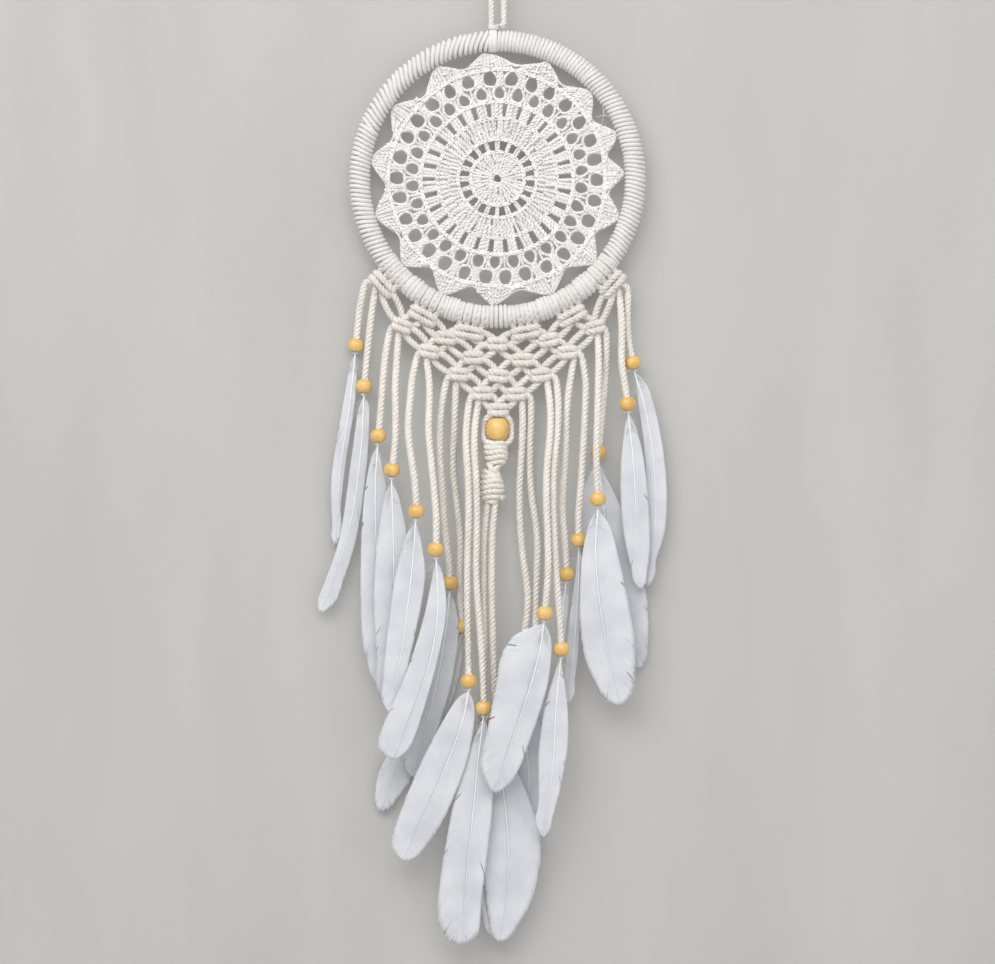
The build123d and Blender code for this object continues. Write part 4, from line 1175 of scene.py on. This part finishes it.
def make_feather(name):
    """One feather: rows of barbs on both sides of a tapered shaft, with splits and an uneven edge."""
    start, tip, left, rachis, right = FEATHERS[name]
    bead_x, depth, bead_z = STRANDS[name][-1]
    base = (0.55 * start[0] + 0.45 * bead_x, 0.55 * start[1] + 0.45 * (bead_z - 0.0036))
    lead_x, lead_z = rachis[-1]
    shaft_end = (tip[0] * 0.6 + lead_x * 0.4, tip[1] * 0.6 + lead_z * 0.4)
    stem = smooth_line([(x, depth, z) for x, z in (base, *rachis, shaft_end)], 0.001)
    rows = int(lengths_along(stem)[-1] / BARB_STEP)
    roots = resample(stem, rows, 0.97)
    cup = rng.uniform(0.0004, 0.0009)
    left, right = ([base, *edge] for edge in (left, right))
    outline = [(x, depth, z) for x, z in (*blunted(left, tip), tip, *reversed(blunted(right, tip)))]
    line = smooth_line(outline, 0.0006)
    turn = int(np.argmin(np.linalg.norm(line - np.array((tip[0], depth, tip[1])), axis=1)))
    pieces = Pieces()
    for sign, border in ((-1, line[:turn + 1]), (1, line[turn:][::-1])):
        ends = resample(border, rows)
        splits = [rng.uniform(0.12, 0.85) for split in range(rng.randrange(0, 3))]
        gaps = {int(split * rows): rng.uniform(0.55, 0.85) for split in splits}
        grid = vane_grid(roots, ends, depth, cup)
        part_barbs(grid, gaps, tangents(roots, False))
        pieces.add(grid.reshape(-1, 3), *vane_faces(rows, gaps, sign))
    vane = pieces.make("feather_" + name, [MATERIALS["vane"], MATERIALS["quill"]],
                       "tassel_" + tassel_of(name), "feather")
    thicken(vane, VANE_THICKNESS)
    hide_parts("feathers_" + tassel_of(name))
    make_quill(name, stem)


def thicken(obj, thickness):
    """Give a sheet a thickness, as part of its mesh."""
    modifier = obj.modifiers.new("thickness", "SOLIDIFY")
    modifier.thickness = thickness
    modifier.offset = 0
    bpy.context.view_layer.update()
    mesh = bpy.data.meshes.new_from_object(obj.evaluated_get(bpy.context.evaluated_depsgraph_get()))
    obj.modifiers.clear()
    obj.data = mesh


def add_down(pieces, stem):
    """Loose down at the foot of a feather."""
    along = tangents(stem, False)
    for index in range(46):
        at = rng.randrange(1, max(3, int(len(stem) * 0.1)))
        side = rng.choice((-1, 1))
        outward = Vector((side * rng.uniform(0.5, 1.3), rng.uniform(-0.15, 0.15), 0))
        pieces.fibre(stem[at], outward + Vector(along[at]) * 1.1, rng.uniform(0.004, 0.0085), 0.00009, slot=1)


def add_binding(pieces, top, base):
    """Thread wound round the shaft from the bead down to the feather, with its loose ends."""
    turns = 4.5
    steps = 90
    spiral = []
    for step in range(steps + 1):
        t = step / steps
        angle = 2 * pi * turns * t
        centre = top + (base - top) * (0.05 + 0.85 * t)
        reach = 0.0017 * (1 - 0.35 * t)
        spiral.append(centre + np.array((reach * cos(angle), reach * 0.8 * sin(angle), 0)))
    pieces.tube(np.array(spiral), (0, 0, 1), 0.00034, 6, slot=2)
    for index in range(3):
        pieces.fibre(top + np.array((0, -0.001, -0.001)), (rng.uniform(-1, 1), -0.3, rng.uniform(-0.6, 0.3)),
                     rng.uniform(0.004, 0.008), 0.00013, slot=2)
    core = smooth_line((top + np.array((0, 0, 0.001)), (top + base) / 2, base), 0.001)
    pieces.tube(core, FRONT, np.linspace(0.0015, 0.0006, len(core)), 8, slot=2)


def make_quill(name, stem):
    """The shaft from the bead down the feather, with down at its base and the thread binding."""
    bead = np.array(STRANDS[name][-1])
    above = np.array(STRANDS[name][-2])
    upper = smooth_line((bead - np.array((0, 0, 0.0015)), stem[0]), 0.001)
    line = np.vstack([upper[:-1], stem])
    share = lengths_along(line) / lengths_along(line)[-1]
    radius = 0.00042 * (1 - share) ** 0.8 + 0.0001
    line[:, 1] -= 0.00025
    pieces = Pieces()
    pieces.tube(line, FRONT, radius, 8)
    add_down(pieces, stem)
    add_binding(pieces, bead + unit(bead - above) * 0.0044, stem[0])
    pieces.make("quill_" + name, [MATERIALS["quill"], MATERIALS["vane"], MATERIALS["thread"]],
                "tassel_" + tassel_of(name), "feather")


def add_stage():
    """The pale wall behind, open from the back, and a pale floor."""
    floor_paint = Paint("floor_paint", (0.66, 0.655, 0.64), 0.85, specular=0.2).material
    wall = [(-3, WALL_Y, FLOOR_Z), (3, WALL_Y, FLOOR_Z), (3, WALL_Y, 2.5), (-3, WALL_Y, 2.5)]
    floor = [(-4, -4, FLOOR_Z), (4, -4, FLOOR_Z), (4, 4, FLOOR_Z), (-4, 4, FLOOR_Z)]
    for name, corners, material in (("wall", wall, wall_paint_and_painted_glow()), ("floor", floor, floor_paint)):
        mesh = bpy.data.meshes.new(name)
        mesh.from_pydata(corners, [], [(0, 1, 2, 3)])
        mesh.materials.append(material)
        obj = bpy.data.objects.new(name, mesh)
        bpy.context.scene.collection.objects.link(obj)


def add_light(name, place, target, size, power, colour):
    """A soft square light aimed at a point."""
    data = bpy.data.lights.new(name, "AREA")
    data.size = size
    data.energy = power
    data.color = colour
    obj = bpy.data.objects.new(name, data)
    obj.location = place
    obj.rotation_mode = "QUATERNION"
    obj.rotation_quaternion = (Vector(target) - Vector(place)).to_track_quat("-Z", "Y")
    bpy.context.scene.collection.objects.link(obj)


def add_lights():
    """Soft studio light from the upper left, with a pale surround."""
    add_light("key", (-1.15, -1.7, 1.25), (0, 0, -0.2), 1.5, 27, (1, 0.985, 0.965))
    add_light("front", (0.1, -2.1, 1.2), (0, 0, -0.15), 1.6, 25, (1, 0.99, 0.975))
    add_light("fill", (1.6, -1.6, -0.1), (0, 0, -0.35), 1.6, 7, (0.96, 0.98, 1))
    add_light("back", (1.1, 1.7, 0.6), (0, 0, -0.3), 1.6, 36, (1, 1, 1))
    add_light("back_fill", (-1.3, 1.5, -0.1), (0, 0, -0.35), 1.6, 14, (1, 0.99, 0.98))
    world = bpy.data.worlds.new("surround")
    world.use_nodes = True
    world.node_tree.nodes["Background"].inputs["Color"].default_value = (0.93, 0.95, 1, 1)
    world.node_tree.nodes["Background"].inputs["Strength"].default_value = 0.53
    bpy.context.scene.world = world
    bpy.context.scene.view_settings.view_transform = "Standard"


add_camera()
MATERIALS = {
    "cord": cotton("cord_cotton", (0.88, 0.84, 0.79), (0.71, 0.65, 0.585), 3, 0.0034, (0.825, 0.775, 0.715)),
    # net: the strands' cotton painted darker, as painted shade among the net's knots
    "net": cotton("net_cotton_painted_shade", (0.8, 0.765, 0.725), (0.64, 0.59, 0.54), 3, 0.0034, (0.745, 0.7, 0.65)),
    # mount: the same cotton painted darker still, as painted shade on the turns over the hoop
    "mount": cotton("mount_cotton_painted_shade", (0.73, 0.71, 0.68), (0.6, 0.565, 0.53), 3, 0.0034, (0.695, 0.665, 0.63)),
    "hoop": cotton("hoop_cotton", (0.8, 0.785, 0.765), (0.66, 0.635, 0.605), 3, 0.003, (0.76, 0.74, 0.715)),
    "doily": cotton(
        "doily_cotton", (0.925, 0.91, 0.885), (0.69, 0.675, 0.65), 2, 0.0016, (0.87, 0.858, 0.835)),
    "thread": cotton("binding_thread", (0.86, 0.83, 0.79), (0.72, 0.67, 0.63), 2, 0.0012, (0.81, 0.77, 0.73)),
    "wood": wood(),
    "vane": vane_material(),
    "quill": quill_material(),
}
for strand_name in STRANDS:
    make_strand(strand_name)
make_loop()
make_winding()
make_mounts()
make_net()
make_doily()
make_big_bead()
make_sinnet()
for strand_name in STRANDS:
    make_bead(strand_name)
    make_feather(strand_name)
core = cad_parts["hoop_core"]
core.data.materials.clear()
core.data.materials.append(steel())
add_stage()
add_lights()
